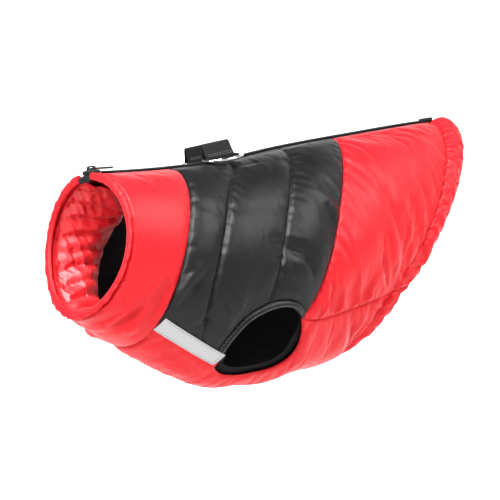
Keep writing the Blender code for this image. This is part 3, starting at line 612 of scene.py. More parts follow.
class Recipe:
    """A material that is being mixed: its node tree and its Principled shader."""

    WAVE_RADIANS: ClassVar = 20

    def __init__(self, name: str) -> None:
        """Start a material."""
        self.material = bpy.data.materials.new(name)
        self.material.use_nodes = True
        self.tree = self.material.node_tree
        self.shader = self.tree.nodes["Principled BSDF"]
        self.place = self.node("ShaderNodeTexCoord", out="Object")
        self.cloth = self.node("ShaderNodeTexCoord", out="UV")

    def node(self, kind: str, settings: dict | None = None, inputs: dict | None = None,
             out: str | int = 0) -> Signal:
        """Add a node.

        Args:
            kind: the node's type.
            settings: its properties, set first.
            inputs: values or signals of its sockets, by name or number.
            out: the output that is returned.
        Returns:
            That output.
        """
        node = self.tree.nodes.new(kind)
        for key, value in (settings or {}).items():
            setattr(node, key, value)
        for key, value in (inputs or {}).items():
            self.feed(node.inputs[key], value)
        return Signal(self.tree, node.outputs[out])

    def feed(self, port: bpy.types.NodeSocket, value: object) -> None:
        """Give a socket a value or a signal."""
        if isinstance(value, Signal):
            self.tree.links.new(value.socket, port)
        else:
            port.default_value = value

    def noise(self, size_mm: float, detail: float = 3, roughness: float = 0.5,
              stretch: Sequence[float] = (1, 1, 1), distortion: float = 0) -> Signal:
        """Noise on the piece's own coordinates, with features of a size in mm."""
        scaled = self.node("ShaderNodeMapping", {}, {"Vector": self.place, "Scale": tuple(stretch)})
        return self.node("ShaderNodeTexNoise", {}, {
            "Vector": scaled, "Scale": 1 / (size_mm * MM), "Detail": detail, "Roughness": roughness,
            "Distortion": distortion})

    def ribs(self, pitch_mm: float, axis: str) -> Signal:
        """Bands across the cloth's own map, with a pitch in mm. Scale 1 is WAVE_RADIANS to a unit."""
        scale = MAP_MM / pitch_mm * (2 * math.pi) / self.WAVE_RADIANS
        return self.node("ShaderNodeTexWave", {"wave_type": "BANDS", "bands_direction": axis},
                         {"Vector": self.cloth, "Scale": scale})

    def bump(self, height: Signal, depth_mm: float, under: Signal | None = None) -> Signal:
        """A normal from a height of so many mm."""
        inputs = {"Height": height, "Distance": depth_mm * MM}
        if under is not None:
            inputs["Normal"] = under
        return self.node("ShaderNodeBump", {}, inputs)

    def blend(self, factor: Signal, first: Sequence[float], second: Sequence[float]) -> Signal:
        """A colour between two colours."""
        return self.node("ShaderNodeMix", {"data_type": "RGBA"},
                         {0: factor, 6: (*first, 1), 7: (*second, 1)}, out=2)

    def dress(self, **sockets: object) -> bpy.types.Material:
        """Feed the shader's sockets, whose names are given with _ for a space, and end the recipe."""
        for name, value in sockets.items():
            self.feed(self.shader.inputs[name.replace("_", " ")], value)
        return self.material


class Finish:
    """A finish that makes its material once."""

    made: ClassVar[dict] = {}
    name: str

    def material(self) -> bpy.types.Material:
        """The finish's material."""
        if self.name not in self.made:
            self.made[self.name] = self.mix(Recipe(self.name))
        return self.made[self.name]

    def mix(self, recipe: Recipe) -> bpy.types.Material:
        """Mix the material."""
        raise NotImplementedError

    def on(self, piece: Piece) -> Piece:
        """Dress a piece in the finish."""
        piece.data.materials.clear()
        piece.data.materials.append(self.material())
        return piece


@dataclass(frozen=True)
class Cloth(Finish):
    """Woven cloth: its colours, its shine and how finely it creases."""

    name: str
    colour: tuple[float, float, float]
    faded: tuple[float, float, float]
    roughness: float
    roughness_spread: float = 0.08
    sheen: float = 0.0
    specular: float = 0.5
    crease_mm: float = 9.0
    crease_depth: float = 0.25
    fine_mm: float = 1.6
    fine_depth: float = 0.03
    thread_mm: float = 0.5
    thread_depth: float = 0.012

    def mix(self, recipe: Recipe) -> bpy.types.Material:
        """Mix a cloth with uneven dye, soft creases and a plain weave."""
        cloudy = recipe.noise(38, 4, 0.55)
        creases = recipe.noise(self.crease_mm, 4, 0.6, distortion=0.6)
        fine = recipe.noise(self.fine_mm, 2, 0.5)
        weave = recipe.ribs(self.thread_mm, "X") * recipe.ribs(self.thread_mm, "Y")
        normal = recipe.bump(creases, self.crease_depth)
        normal = recipe.bump(fine, self.fine_depth, under=normal)
        normal = recipe.bump(weave, self.thread_depth, under=normal)
        colour = recipe.blend(cloudy * 0.6 + fine * 0.4, self.colour, self.faded)
        roughness = self.roughness + self.roughness_spread * (cloudy - 0.5) * 2
        return recipe.dress(Base_Color=colour, Roughness=roughness, Normal=normal, Sheen_Weight=self.sheen,
                            Sheen_Roughness=0.4, Specular_IOR_Level=self.specular)


@dataclass(frozen=True)
class Webbing(Finish):
    """Woven webbing or tape with ribs across it."""

    name: str
    colour: tuple[float, float, float]
    # rib is the colour on the ribs, lighter than in the grooves: a painted highlight.
    rib: tuple[float, float, float]
    rib_mm: float = 0.9
    depth: float = 0.08
    roughness: float = 0.62
    specular: float = 0.15

    def mix(self, recipe: Recipe) -> bpy.types.Material:
        """Mix a webbing with a painted highlight on its ribs and painted shade in its grooves."""
        ribs = recipe.ribs(self.rib_mm, "X")
        threads = recipe.ribs(self.rib_mm * 0.6, "Y")
        fuzz = recipe.noise(0.8, 3)
        # The colour follows the ribs, with painted highlight on them and painted shade between them. The fuzz
        # adds random tone.
        colour = recipe.blend(ribs * 0.7 + fuzz * 0.3, self.colour, self.rib)
        normal = recipe.bump(ribs * 0.8 + threads * 0.2, self.depth)
        return recipe.dress(Base_Color=colour, Roughness=self.roughness + 0.2 * (fuzz - 0.5), Normal=normal,
                            Sheen_Weight=0.03, Specular_IOR_Level=self.specular)


@dataclass(frozen=True)
class Reflective(Finish):
    """Silver-grey reflective tape, with fine beads and faint rubbed marks."""

    name: str = "reflective_tape"
    colour: tuple[float, float, float] = (0.40, 0.405, 0.415)
    rubbed: tuple[float, float, float] = (0.48, 0.485, 0.495)

    def mix(self, recipe: Recipe) -> bpy.types.Material:
        """Mix the tape."""
        beads = recipe.noise(0.35, 1)
        marks = recipe.noise(5, 5, 0.65, stretch=(1, 3, 1))
        colour = recipe.blend(marks * 0.6 + beads * 0.4, self.colour, self.rubbed)
        return recipe.dress(Base_Color=colour, Roughness=0.42 + 0.18 * marks, Metallic=0.25,
                            Normal=recipe.bump(beads, 0.03))


@dataclass(frozen=True)
class Thread(Finish):
    """Twisted sewing thread."""

    name: str
    colour: tuple[float, float, float]
    light: tuple[float, float, float]

    def mix(self, recipe: Recipe) -> bpy.types.Material:
        """Mix the thread."""
        twist = recipe.noise(0.5, 2)
        colour = recipe.blend(twist, self.colour, self.light)
        return recipe.dress(Base_Color=colour, Roughness=0.55 + 0.1 * twist, Sheen_Weight=0.2)


@dataclass(frozen=True)
class Metal(Finish):
    """Plated or enamelled metal with small scratches."""

    name: str
    colour: tuple[float, float, float]
    worn: tuple[float, float, float]
    metallic: float
    roughness: float

    def mix(self, recipe: Recipe) -> bpy.types.Material:
        """Mix the metal."""
        scratches = recipe.noise(0.7, 6, 0.7, stretch=(1, 6, 6))
        patches = recipe.noise(6, 3)
        colour = recipe.blend(patches * scratches, self.colour, self.worn)
        return recipe.dress(Base_Color=colour, Metallic=self.metallic,
                            Roughness=self.roughness + 0.12 * (scratches - 0.5),
                            Normal=recipe.bump(scratches, 0.008))


@dataclass(frozen=True)
class Plastic(Finish):
    """Moulded nylon, as the zip's teeth are."""

    name: str
    colour: tuple[float, float, float]
    light: tuple[float, float, float]
    roughness: float = 0.4

    def mix(self, recipe: Recipe) -> bpy.types.Material:
        """Mix the plastic."""
        grain = recipe.noise(1.1, 3)
        colour = recipe.blend(grain, self.colour, self.light)
        return recipe.dress(Base_Color=colour, Roughness=self.roughness + 0.15 * (grain - 0.5),
                            Specular_IOR_Level=0.25, Normal=recipe.bump(grain, 0.02))


RED_CLOTH = Cloth("red_nylon", (0.58, 0.004, 0.009), (0.66, 0.009, 0.016), 0.46, sheen=0.05, specular=0.24,
                  crease_depth=0.12)
RED_SATIN = Cloth("red_satin", (0.58, 0.006, 0.012), (0.70, 0.014, 0.022), 0.42, sheen=0.15, specular=0.6,
                  crease_mm=6.0, crease_depth=0.2)
BLACK_NYLON = Cloth("black_nylon", (0.0028, 0.0028, 0.0032), (0.006, 0.006, 0.007), 0.43, 0.06, specular=0.25,
                    crease_depth=0.07)
BLACK_LINING = Cloth("black_lining", (0.0022, 0.0022, 0.0025), (0.005, 0.005, 0.0055), 0.75, specular=0.12,
                     crease_depth=0.3)
# The second colour of each webbing is a painted highlight on its ribs.
BLACK_WEBBING = Webbing("black_webbing", (0.002, 0.002, 0.0023), (0.014, 0.014, 0.015))
ZIP_WEAVE = Webbing("zip_tape_weave", (0.003, 0.003, 0.0033), (0.012, 0.012, 0.013), 0.7, 0.05, 0.6)
REFLECTIVE = Reflective()
RED_THREAD = Thread("red_thread", (0.28, 0.004, 0.007), (0.42, 0.010, 0.014))
BLACK_THREAD = Thread("black_thread", (0.040, 0.040, 0.042), (0.14, 0.14, 0.145))
# A darker copy of the black thread for the quilting rows: painted shade of the quilting grooves.
SHADED_QUILT_THREAD = Thread("quilt_thread", (0.006, 0.006, 0.0065), (0.02, 0.02, 0.021))
GREY_THREAD = Thread("grey_thread", (0.10, 0.10, 0.105), (0.20, 0.20, 0.21))
CHROME = Metal("chrome", (0.78, 0.78, 0.80), (0.62, 0.62, 0.64), 1.0, 0.10)
BLACK_ENAMEL = Metal("black_enamel", (0.006, 0.006, 0.007), (0.03, 0.03, 0.033), 0.3, 0.34)
TEETH_PLASTIC = Plastic("teeth_plastic", (0.006, 0.006, 0.007), (0.016, 0.016, 0.018))


# ---------------------------------------------------------------- one piece of cloth

# How far out a sewn face and a padded piece's inner side lie, and the furthest in that a face may go.
FACE = -1.0
INSIDE = -3.0
LOWEST = -2.2
# How far from its side a piece is sewn down, at a plain seam and under the reflective tape.
ON_SEAM = 0.4
UNDER_TAPE = 7.0


def ride(piece: Piece, slot: str, *nodes: str, body: Body = Body.JACKET) -> Piece:
    """Join a piece to the frame: its body and the nodes it stands for."""
    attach(piece, body.value)
    if nodes:
        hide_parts(*nodes)
    log.info("%s: %d faces", piece.name, len(piece.data.polygons))
    return piece


class Panel:
    """A piece of cloth over a grid of places.

    Its distances in mm are down and up from the first and the last row, across and back from the
    first and the last column, ends and sides for the lesser of each pair, and border for the least.
    """

    SEAM_DIP: ClassVar = 0.9
    SEAM_ROLL: ClassVar = 1.1
    DRAWN_IN: ClassVar = 0.06
    MOST_ASIDE: ClassVar = 1.6
    LAST_RISE: ClassVar = 0.5

    def __init__(self, name: str, places: Array, side: Side = Side.LEFT) -> None:
        """Measure the grid.

        Args:
            name: the piece's name.
            places: rows and columns of (along, around), as on the left side.
            side: the side that the piece is on.
        """
        self.name = name
        self.along, self.angle = places[..., 0], PATTERN.from_spine(places[..., 1])
        around = places[..., 1] * side.value
        self.base, self.normal = FORM.point(self.along, around), FORM.outward(self.along, around)
        self.down, self.across = (lengths(self.base, axis) for axis in (0, 1))
        self.up, self.back = self.down[-1:] - self.down, self.across[:, -1:] - self.across
        self.ends, self.sides = np.minimum(self.down, self.up), np.minimum(self.across, self.back)
        self.border = np.minimum(self.ends, self.sides)
        self.aside = np.zeros_like(self.base)
        self.outer: Array | None = None

    def lifted(self, folds: Sequence[Fold]) -> Array:
        """The heights that folds give the cloth."""
        return sum(fold.lift(self.along, self.angle) for fold in folds)

    def zip_puckers(self, crinkle: Crinkle, length: float, height: float) -> Array:
        """Puckers of a length and a height, drawn in by the seam beside the zip."""
        return height * crinkle.at(self.down / length, self.across / 9) * near(self.across - 4, 4)

    def rolled(self, height: Array, seams: Sequence[Array]) -> Array:
        """Heights that dip into the seams, given as distances from each."""
        for distance in seams:
            height = height - self.SEAM_DIP * near(distance, self.SEAM_ROLL)
        return height

    def fill(self, height: Array, sewn: Array, stuffing: Stuffing, high: Values,
             low: float = LOWEST) -> Array:
        """Swell the cloth between its seams.

        Args:
            height: how far out its face lies when it is sewn.
            sewn: which points are sewn down.
            stuffing: how it is cut and filled.
            high, low: the most and the least that it may stand out.
        Returns:
            The heights that it has then. Its sideways moves are kept for make.
        """
        swollen = stuffing.swell(self.base + self.normal * height[..., None], self.normal, sewn) - self.base
        lifted_to = (swollen * self.normal).sum(-1)
        aside = swollen - self.normal * lifted_to[..., None]
        reach = np.linalg.norm(aside, axis=-1, keepdims=True)
        self.aside = aside * np.minimum(1, self.MOST_ASIDE / np.maximum(reach, 1e-9))
        above = lifted_to - high
        most = high + self.LAST_RISE * np.tanh(above / self.LAST_RISE)
        return np.maximum(np.where(above > 0, most, lifted_to), low)

    def make(self, height: Array, inner: Values, finish: Finish, draw_in: bool = True) -> Piece:
        """Make the piece as a closed wall.

        Args:
            height: how far out its outer face lies.
            inner: how far out its inner face lies.
            finish: its finish.
            draw_in: whether its border stands back from its neighbours'.
        Returns:
            The piece.
        """
        self.outer = self.base + self.normal * np.asarray(height)[..., None] + self.aside
        inside = self.base + self.normal * np.broadcast_to(inner, self.along.shape)[..., None]
        layers = [self.outer, inside]
        if draw_in:
            layers = [self.narrowed(layer) for layer in layers]
        return finish.on(finished(self.name, grid_mesh(self.name, *layers)))

    def narrowed(self, points: Array) -> Array:
        """Points with the border moved in a little."""
        points = points.copy()
        for axis in (0, 1):
            grid = np.moveaxis(points, axis, 0)
            for edge, inner in ((0, 1), (-1, -2)):
                grid[edge] += unit(grid[inner] - grid[edge]) * self.DRAWN_IN
        return points

    def trace(self, distance: Array, at: float) -> Run:
        """A line over the finished face, at a distance from a side.

        Args:
            distance: the distance array of that side, which changes along rows or along columns.
            at: the distance.
        Returns:
            Points in mm and directions out.
        """
        grids = [distance, self.outer, self.normal]
        if distance is self.down or distance is self.up:
            grids = [grid.swapaxes(0, 1) for grid in grids]
        spots = []
        for row, points, normals in zip(*grids):
            order = slice(None) if row[0] < row[-1] else slice(None, None, -1)
            spots.append(read_at(np.hstack((points, normals))[order], row[order], np.array([at]))[0])
        return np.array(spots)[:, :3], np.array(spots)[:, 3:]


@dataclass(frozen=True)
class Stitching:
    """A run of stitches along a line, half sunk into the cloth."""

    finish: Thread
    length: float = 2.3
    gap: float = 0.8
    radius: float = 0.22
    sunk: float = 0.02

    def sew(self, name: str, slot: str, runs: Sequence[Run]) -> Piece:
        """Sew stitches along lines.

        Args:
            name, slot: the piece's name, and a material slot, which is not used.
            runs: the lines.
        Returns:
            One piece that holds every stitch.
        """
        shape = bmesh.new()
        for points, normals in runs:
            reach = lengths(points)
            starts = np.arange(self.gap, reach[-1] - self.length, self.length + self.gap)
            heads, tails = (read_at(points, reach, starts + offset) for offset in (0, self.length))
            for head, tail, out in zip(heads, tails, read_at(normals, reach, starts + self.length / 2)):
                course, up = Vector(tail - head), Vector(out).normalized()
                side = up.cross(course.normalized())
                middle = Vector((head + tail) / 2) + up * self.sunk
                turn = Matrix((course.normalized(), side, side.cross(course.normalized()) * -1)).transposed()
                place = Matrix.Translation(middle * MM) @ turn.to_4x4() @ Matrix.Diagonal(
                    (course.length / 2 * MM, self.radius * MM, self.radius * MM, 1))
                bmesh.ops.create_uvsphere(shape, u_segments=6, v_segments=5, radius=1,
                                          matrix=place @ Matrix.Rotation(math.pi / 2, 4, "Y"))
        bmesh.ops.recalc_face_normals(shape, faces=shape.faces)
        return ride(self.finish.on(finished(name, placed(shape, name))), slot)


# ---------------------------------------------------------------- cloth pieces

@dataclass
class Collar:
    """The standing collar with its rolled rim, and the satin inside it."""

    padding: float = 1.3
    tallest: float = 3.2
    pucker: float = 0.75
    small_folds: float = 0.45
    pressed: float = 0.6
    zip_seam: float = 4.4
    stuffing: Stuffing = Stuffing(0.018, 0.6)
    satin_cut: Stuffing = Stuffing(0.13, -0.5, bend=0.15, frames=22)
    roll_end: float = 9.5
    roll_step: float = 0.5
    rim: tuple = ((0.0, -1.3, -2.9), (0.9, 0.2, -4.3), (2.2, 0.9, -4.8), (3.5, 0.1, -4.4), (4.5, -1.9, -3.6),
                  (6.0, -0.9, -3.1), (9.5, -0.7, -3.0))
    rim_seam: float = 4.5
    folds: tuple = (
        Fold(46, 138, 38, 166, 10, -2.2), Fold(63, 114, 55, 142, 9, -2.0), Fold(59, 128, 50, 158, 8, 1.6),
        Fold(24, 150, 20, 172, 9, -1.2),
        Fold(48, 132, 38, 160, 4, -1.2, True), Fold(66, 112, 58, 138, 4, -1.2, True),
        Fold(66, 126, 56, 148, 4, -1.0, True), Fold(30, 138, 24, 166, 5, -0.8, True),
    )
    satin_folds: tuple = (
        Fold(12, 32, 46, 26, 9, 2.2), Fold(12, 50, 50, 37, 10, 2.8), Fold(13, 68, 52, 52, 10, 3.2),
        Fold(13, 84, 50, 72, 10, 3.0), Fold(14, 98, 52, 84, 10, 2.6), Fold(18, 113, 60, 98, 10, 2.8),
        Fold(20, 130, 58, 112, 9, 2.4), Fold(14, 146, 48, 134, 9, 2.0), Fold(12, 164, 44, 156, 9, 2.2),
    )
    satin_start: float = 6.2
    satin_end: float = 68.6
    satin_inside: float = -4.8
    satin_thickness: float = 0.7
    satin_billow: float = 10.5
    satin_lowest: float = -22.0
    zip_stitches: float = 4.2
    rim_stitches: float = 5.7

    def grid(self, along: Array, count: int) -> Array:
        """Places all round the collar, from zip edge to zip edge."""
        start = PATTERN.zip_edge(along)[:, None]
        around = start + (2 * PATTERN.BELLY - 2 * start) * np.linspace(0, 1, count)[None]
        return np.stack((np.broadcast_to(along[:, None], around.shape), around), -1)

    def build(self) -> list[Piece]:
        """Make the collar, its satin and its stitches."""
        along = np.concatenate((np.arange(0, self.roll_end, self.roll_step), [8.6, 9.05],
                                np.linspace(self.roll_end, PATTERN.COLLAR_SEAM, 38), [68.3, 68.7]))
        panel = Panel("collar_cloth", self.grid(np.unique(along), 232))
        crinkle = Crinkle(11)
        rim = SmoothTable(self.rim).at(np.minimum(panel.along, self.roll_end))
        on_rim = ease((panel.along - 0.4) / 1.4) * ease((self.rim_seam - panel.along) / 1.4)
        puckers = crinkle.at(panel.across / 3.1, panel.along / 9) * self.pucker * on_rim
        share = np.clip((panel.along - self.roll_end) / (PATTERN.COLLAR_SEAM - self.roll_end), 0, 1)
        sides = ease((panel.sides - 4) / 12)
        puff = self.padding * arch(share, 0.7) * sides
        seams = ease((1 - share) * 8) * sides
        folds = seams * panel.lifted(self.folds)
        wrinkled = 0.25 * crinkle.at(panel.across / 22 + panel.along / 30, panel.along / 16) * seams
        small = self.small_folds * np.exp(-np.abs(panel.along - 6) / 5)
        small = small * crinkle.at(panel.across / 4.5, panel.along / 20 + 3)
        flat = FACE + 0.3 * (1 - share)**4 + puff + folds + wrinkled + small * sides
        flat = flat - 0.3 * near(panel.sides - self.zip_stitches, 0.6)
        height = np.where(panel.along <= self.roll_end, rim[..., 0] + puckers + small * on_rim, flat)
        sewn = (panel.sides < self.zip_seam) | (panel.ends < ON_SEAM)
        sewn |= np.abs(panel.along - self.rim_seam) < 0.3
        height = panel.fill(height, sewn, self.stuffing, self.tallest)
        height = np.maximum(height + self.pressed * folds * (panel.along > self.roll_end), LOWEST)
        height = panel.rolled(height, [panel.up])
        inner = np.where(panel.along <= self.roll_end, rim[..., 1] - 0.5 * puckers, INSIDE)
        cloth = ride(panel.make(height, inner, RED_CLOTH), "red_cloth", "collar")
        near_zip = [self.cut(panel.trace(distance, self.zip_stitches), self.roll_end)
                    for distance in (panel.across, panel.back)]
        rim_run = panel.trace(panel.down, self.rim_stitches)
        stitches = Stitching(RED_THREAD).sew("collar_stitches", "red_cloth", [rim_run, *near_zip])
        return [cloth, stitches, self.satin()]

    @staticmethod
    def cut(run: Run, start: float) -> Run:
        """A run without its first stretch."""
        kept = lengths(run[0]) >= start
        return run[0][kept], run[1][kept]

    def satin(self) -> Piece:
        """Make the satin inside the collar, with folds that fall into the neck."""
        panel = Panel("collar_satin", self.grid(np.linspace(self.satin_start, self.satin_end, 62), 300))
        crinkle, fine = Crinkle(23), Crinkle(29)
        ends = ease((panel.down - 0.5) / 7) * ease(panel.up / 14)
        drift = panel.along / 26
        ridges = crinkle.ridges(panel.across / 15 + drift, panel.along / 24)
        radial = fine.ridges(panel.across / 6.5 + drift, panel.along / 15)
        near_rim = np.exp(-panel.down / 16)
        height = ends * (0.75 * panel.lifted(self.satin_folds) + 2.4 * ridges)
        height += ease(panel.down / 3) * ease(panel.up / 5) * radial * (0.5 + 1.1 * near_rim)
        billow = self.satin_billow * arch(np.clip(panel.down / panel.down[-1:], 0, 1)**1.8, 0.7)
        billow = billow * ease((panel.down - 0.5) / 7)
        inside = panel.fill(self.satin_inside - 0.7 * height - billow, panel.border < 0.6, self.satin_cut,
                            self.satin_inside, self.satin_lowest)
        panel.aside[:] = 0
        piece = ride(panel.make(inside + self.satin_thickness, inside, RED_SATIN), "red_lining",
                     "collar_lining")
        return piece


@dataclass
class Yoke:
    """One side of the yoke, with three padded channels."""

    side: Side
    padding: float = 3.4
    tallest: float = 5.6
    ring_press: float = 4.6
    ring_place: tuple = (-7, 39, 34)
    ring_soft: float = 6
    pressed: float = 0.35
    zip_seam: float = 3.6
    quilt_width: float = 1.6
    quilt_depth: float = 0.85
    zip_stitches: float = 3.4
    seed: int = 5
    stuffing: Stuffing = Stuffing(0.009, 1.0)
    columns: tuple = (0, 0.03, 0.07, 0.13, 0.20, 0.28, 0.36, 0.44, 0.52, 0.60, 0.68, 0.75, 0.82, 0.88, 0.93,
                      0.96, 1)
    folds: tuple = (
        Fold(79, 99, 72, 122, 6, 1.2), Fold(87, 102, 76, 124, 6, -1.2), Fold(96, 123, 105, 130, 7, -1.1),
        Fold(101, 114, 108, 119, 6, 0.9), Fold(129, 79, 144, 81, 6, -1.3), Fold(132, 85, 144, 87, 5, -1.0),
        Fold(150, 83, 170, 88, 7, -1.6), Fold(170, 88, 184, 97, 7, -1.6), Fold(180, 53, 203, 66, 7, -1.2),
        Fold(183, 60, 200, 71, 6, 1.0), Fold(184, 70, 198, 83, 7, -1.3), Fold(171, 105, 184, 112, 8, 1.0),
        Fold(124, 60, 146, 66, 7, -0.9), Fold(150, 30, 165, 34, 6, -0.8), Fold(104, 60, 118, 62, 6, -0.9),
        Fold(78, 60, 92, 64, 6, -0.8),
        Fold(150, 84, 168, 88, 3.0, -1.2, True), Fold(168, 88, 182, 98, 3.0, -1.2, True),
        Fold(131, 79, 145, 81, 2.8, -1.0, True), Fold(134, 86, 145, 88, 2.6, -0.9, True),
        Fold(186, 52, 204, 64, 3.0, -0.8, True), Fold(187, 66, 200, 80, 3.0, -1.0, True),
        Fold(76, 103, 71, 122, 3.0, 0.9, True), Fold(83, 104, 75, 124, 3.0, -1.0, True),
        Fold(80, 112, 88, 92, 3.0, -0.9, True), Fold(96, 120, 88, 134, 2.8, -0.9, True),
        Fold(99, 112, 112, 118, 2.8, -1.0, True), Fold(98, 106, 112, 110, 2.6, 0.8, True),
        Fold(146, 94, 160, 106, 3.0, -1.0, True), Fold(152, 98, 170, 108, 2.8, -0.9, True),
    )

    ROW_DETAIL: ClassVar = 6
    COLUMN_DETAIL: ClassVar = 7

    def under_ring(self, panel: Panel) -> Array:
        """Where the D-ring presses on the cloth, from 0 to 1."""
        front, rear, outside = self.ring_place
        x, y = panel.base[..., 0], np.abs(panel.base[..., 1])
        return (ease((x - front) / self.ring_soft) * ease((rear - x) / self.ring_soft)
                * ease((outside - y) / self.ring_soft))

    def shares(self) -> Array:
        """How far along its row each column lies."""
        last = len(self.columns) - 1
        return through(np.array(self.columns)[:, None], stops(last, self.COLUMN_DETAIL, (0, last)))[:, 0]

    def places(self) -> tuple[Array, Array, Array]:
        """The yoke's places, with each row's channel share and its number in the coarse rows."""
        shares = self.shares()
        lines = PATTERN.yoke_lines(shares)
        grids, channel_shares, numbers = [], [], []
        first = skipped = 0
        for channel, front, rear in zip(PATTERN.CHANNELS, lines, lines[1:]):
            where = stops(channel.rows, self.ROW_DETAIL, (0, channel.rows))
            share = where / channel.rows
            along = front[0, 0] + (rear[0, 0] - front[0, 0]) * share**channel.crowd
            top = np.column_stack((along, PATTERN.zip_edge(along)))
            grid = PATTERN.patch(top, PATTERN.yoke_lower(first + where), front, rear, share, shares)
            for made, rows in ((grids, grid), (channel_shares, share), (numbers, first + where)):
                made.append(rows[skipped:])
            first += channel.rows
            skipped = 1
        return np.concatenate(grids), np.concatenate(channel_shares), np.concatenate(numbers)

    def build(self) -> list[Piece]:
        """Make the yoke and its stitches."""
        places, share, number = self.places()
        word = self.side.word
        panel = Panel(f"yoke_cloth_{word}", places, self.side)
        crinkle, fine = Crinkle(self.seed + self.side.value), Crinkle(self.seed + 40 + self.side.value)
        quilted = [int(np.argmin(np.abs(number - last)))
                   for last in np.cumsum([channel.rows for channel in PATTERN.CHANNELS])[:-1]]
        puff = self.padding * arch(share[:, None], 0.62)
        edges = ease((panel.across - 4.5) / 11) * ease((panel.back - UNDER_TAPE) / 14)
        seams = ease(panel.ends / 6)
        folds = panel.lifted(self.folds)
        soft = 0.5 * crinkle.at(panel.across / 26 + 7, panel.down / 19)
        small = 0.25 * crinkle.at(panel.across / 5, panel.down / 5)
        height = FACE + edges * (0.65 * puff + seams * (folds + soft) + small)
        taped = (number[:, None] <= len(PATTERN.chest_line) - 1 + 0.6) & (panel.back < UNDER_TAPE)
        sewn = (panel.across < self.zip_seam) | taped | (panel.back < ON_SEAM)
        sewn[[0, *quilted, -1]] = True
        high = FACE + self.tallest - self.ring_press * self.under_ring(panel)
        height = panel.fill(np.where(taped, FACE, height), sewn, self.stuffing, high)
        height = np.maximum(height + self.pressed * edges * seams * folds, LOWEST)
        grooves = sum(near(panel.down - panel.down[row], self.quilt_width) for row in quilted)
        height = height + panel.zip_puckers(fine, 4.5, 0.16) - self.quilt_depth * grooves
        height = panel.rolled(height, [panel.down, panel.up, panel.back])
        cloth = ride(panel.make(height, INSIDE, BLACK_NYLON), "black_nylon", f"yoke_{word}")
        # The quilting is sewn in the darker copy of the black thread: painted shade in the grooves.
        quilting = Stitching(SHADED_QUILT_THREAD).sew(f"yoke_quilting_{word}", "black_nylon",
                                               [(panel.outer[row], panel.normal[row]) for row in quilted])
        stitches = Stitching(BLACK_THREAD, radius=0.3, sunk=0.14).sew(
            f"yoke_stitches_{word}", "black_nylon", [panel.trace(panel.across, self.zip_stitches)])
        return [cloth, quilting, stitches]


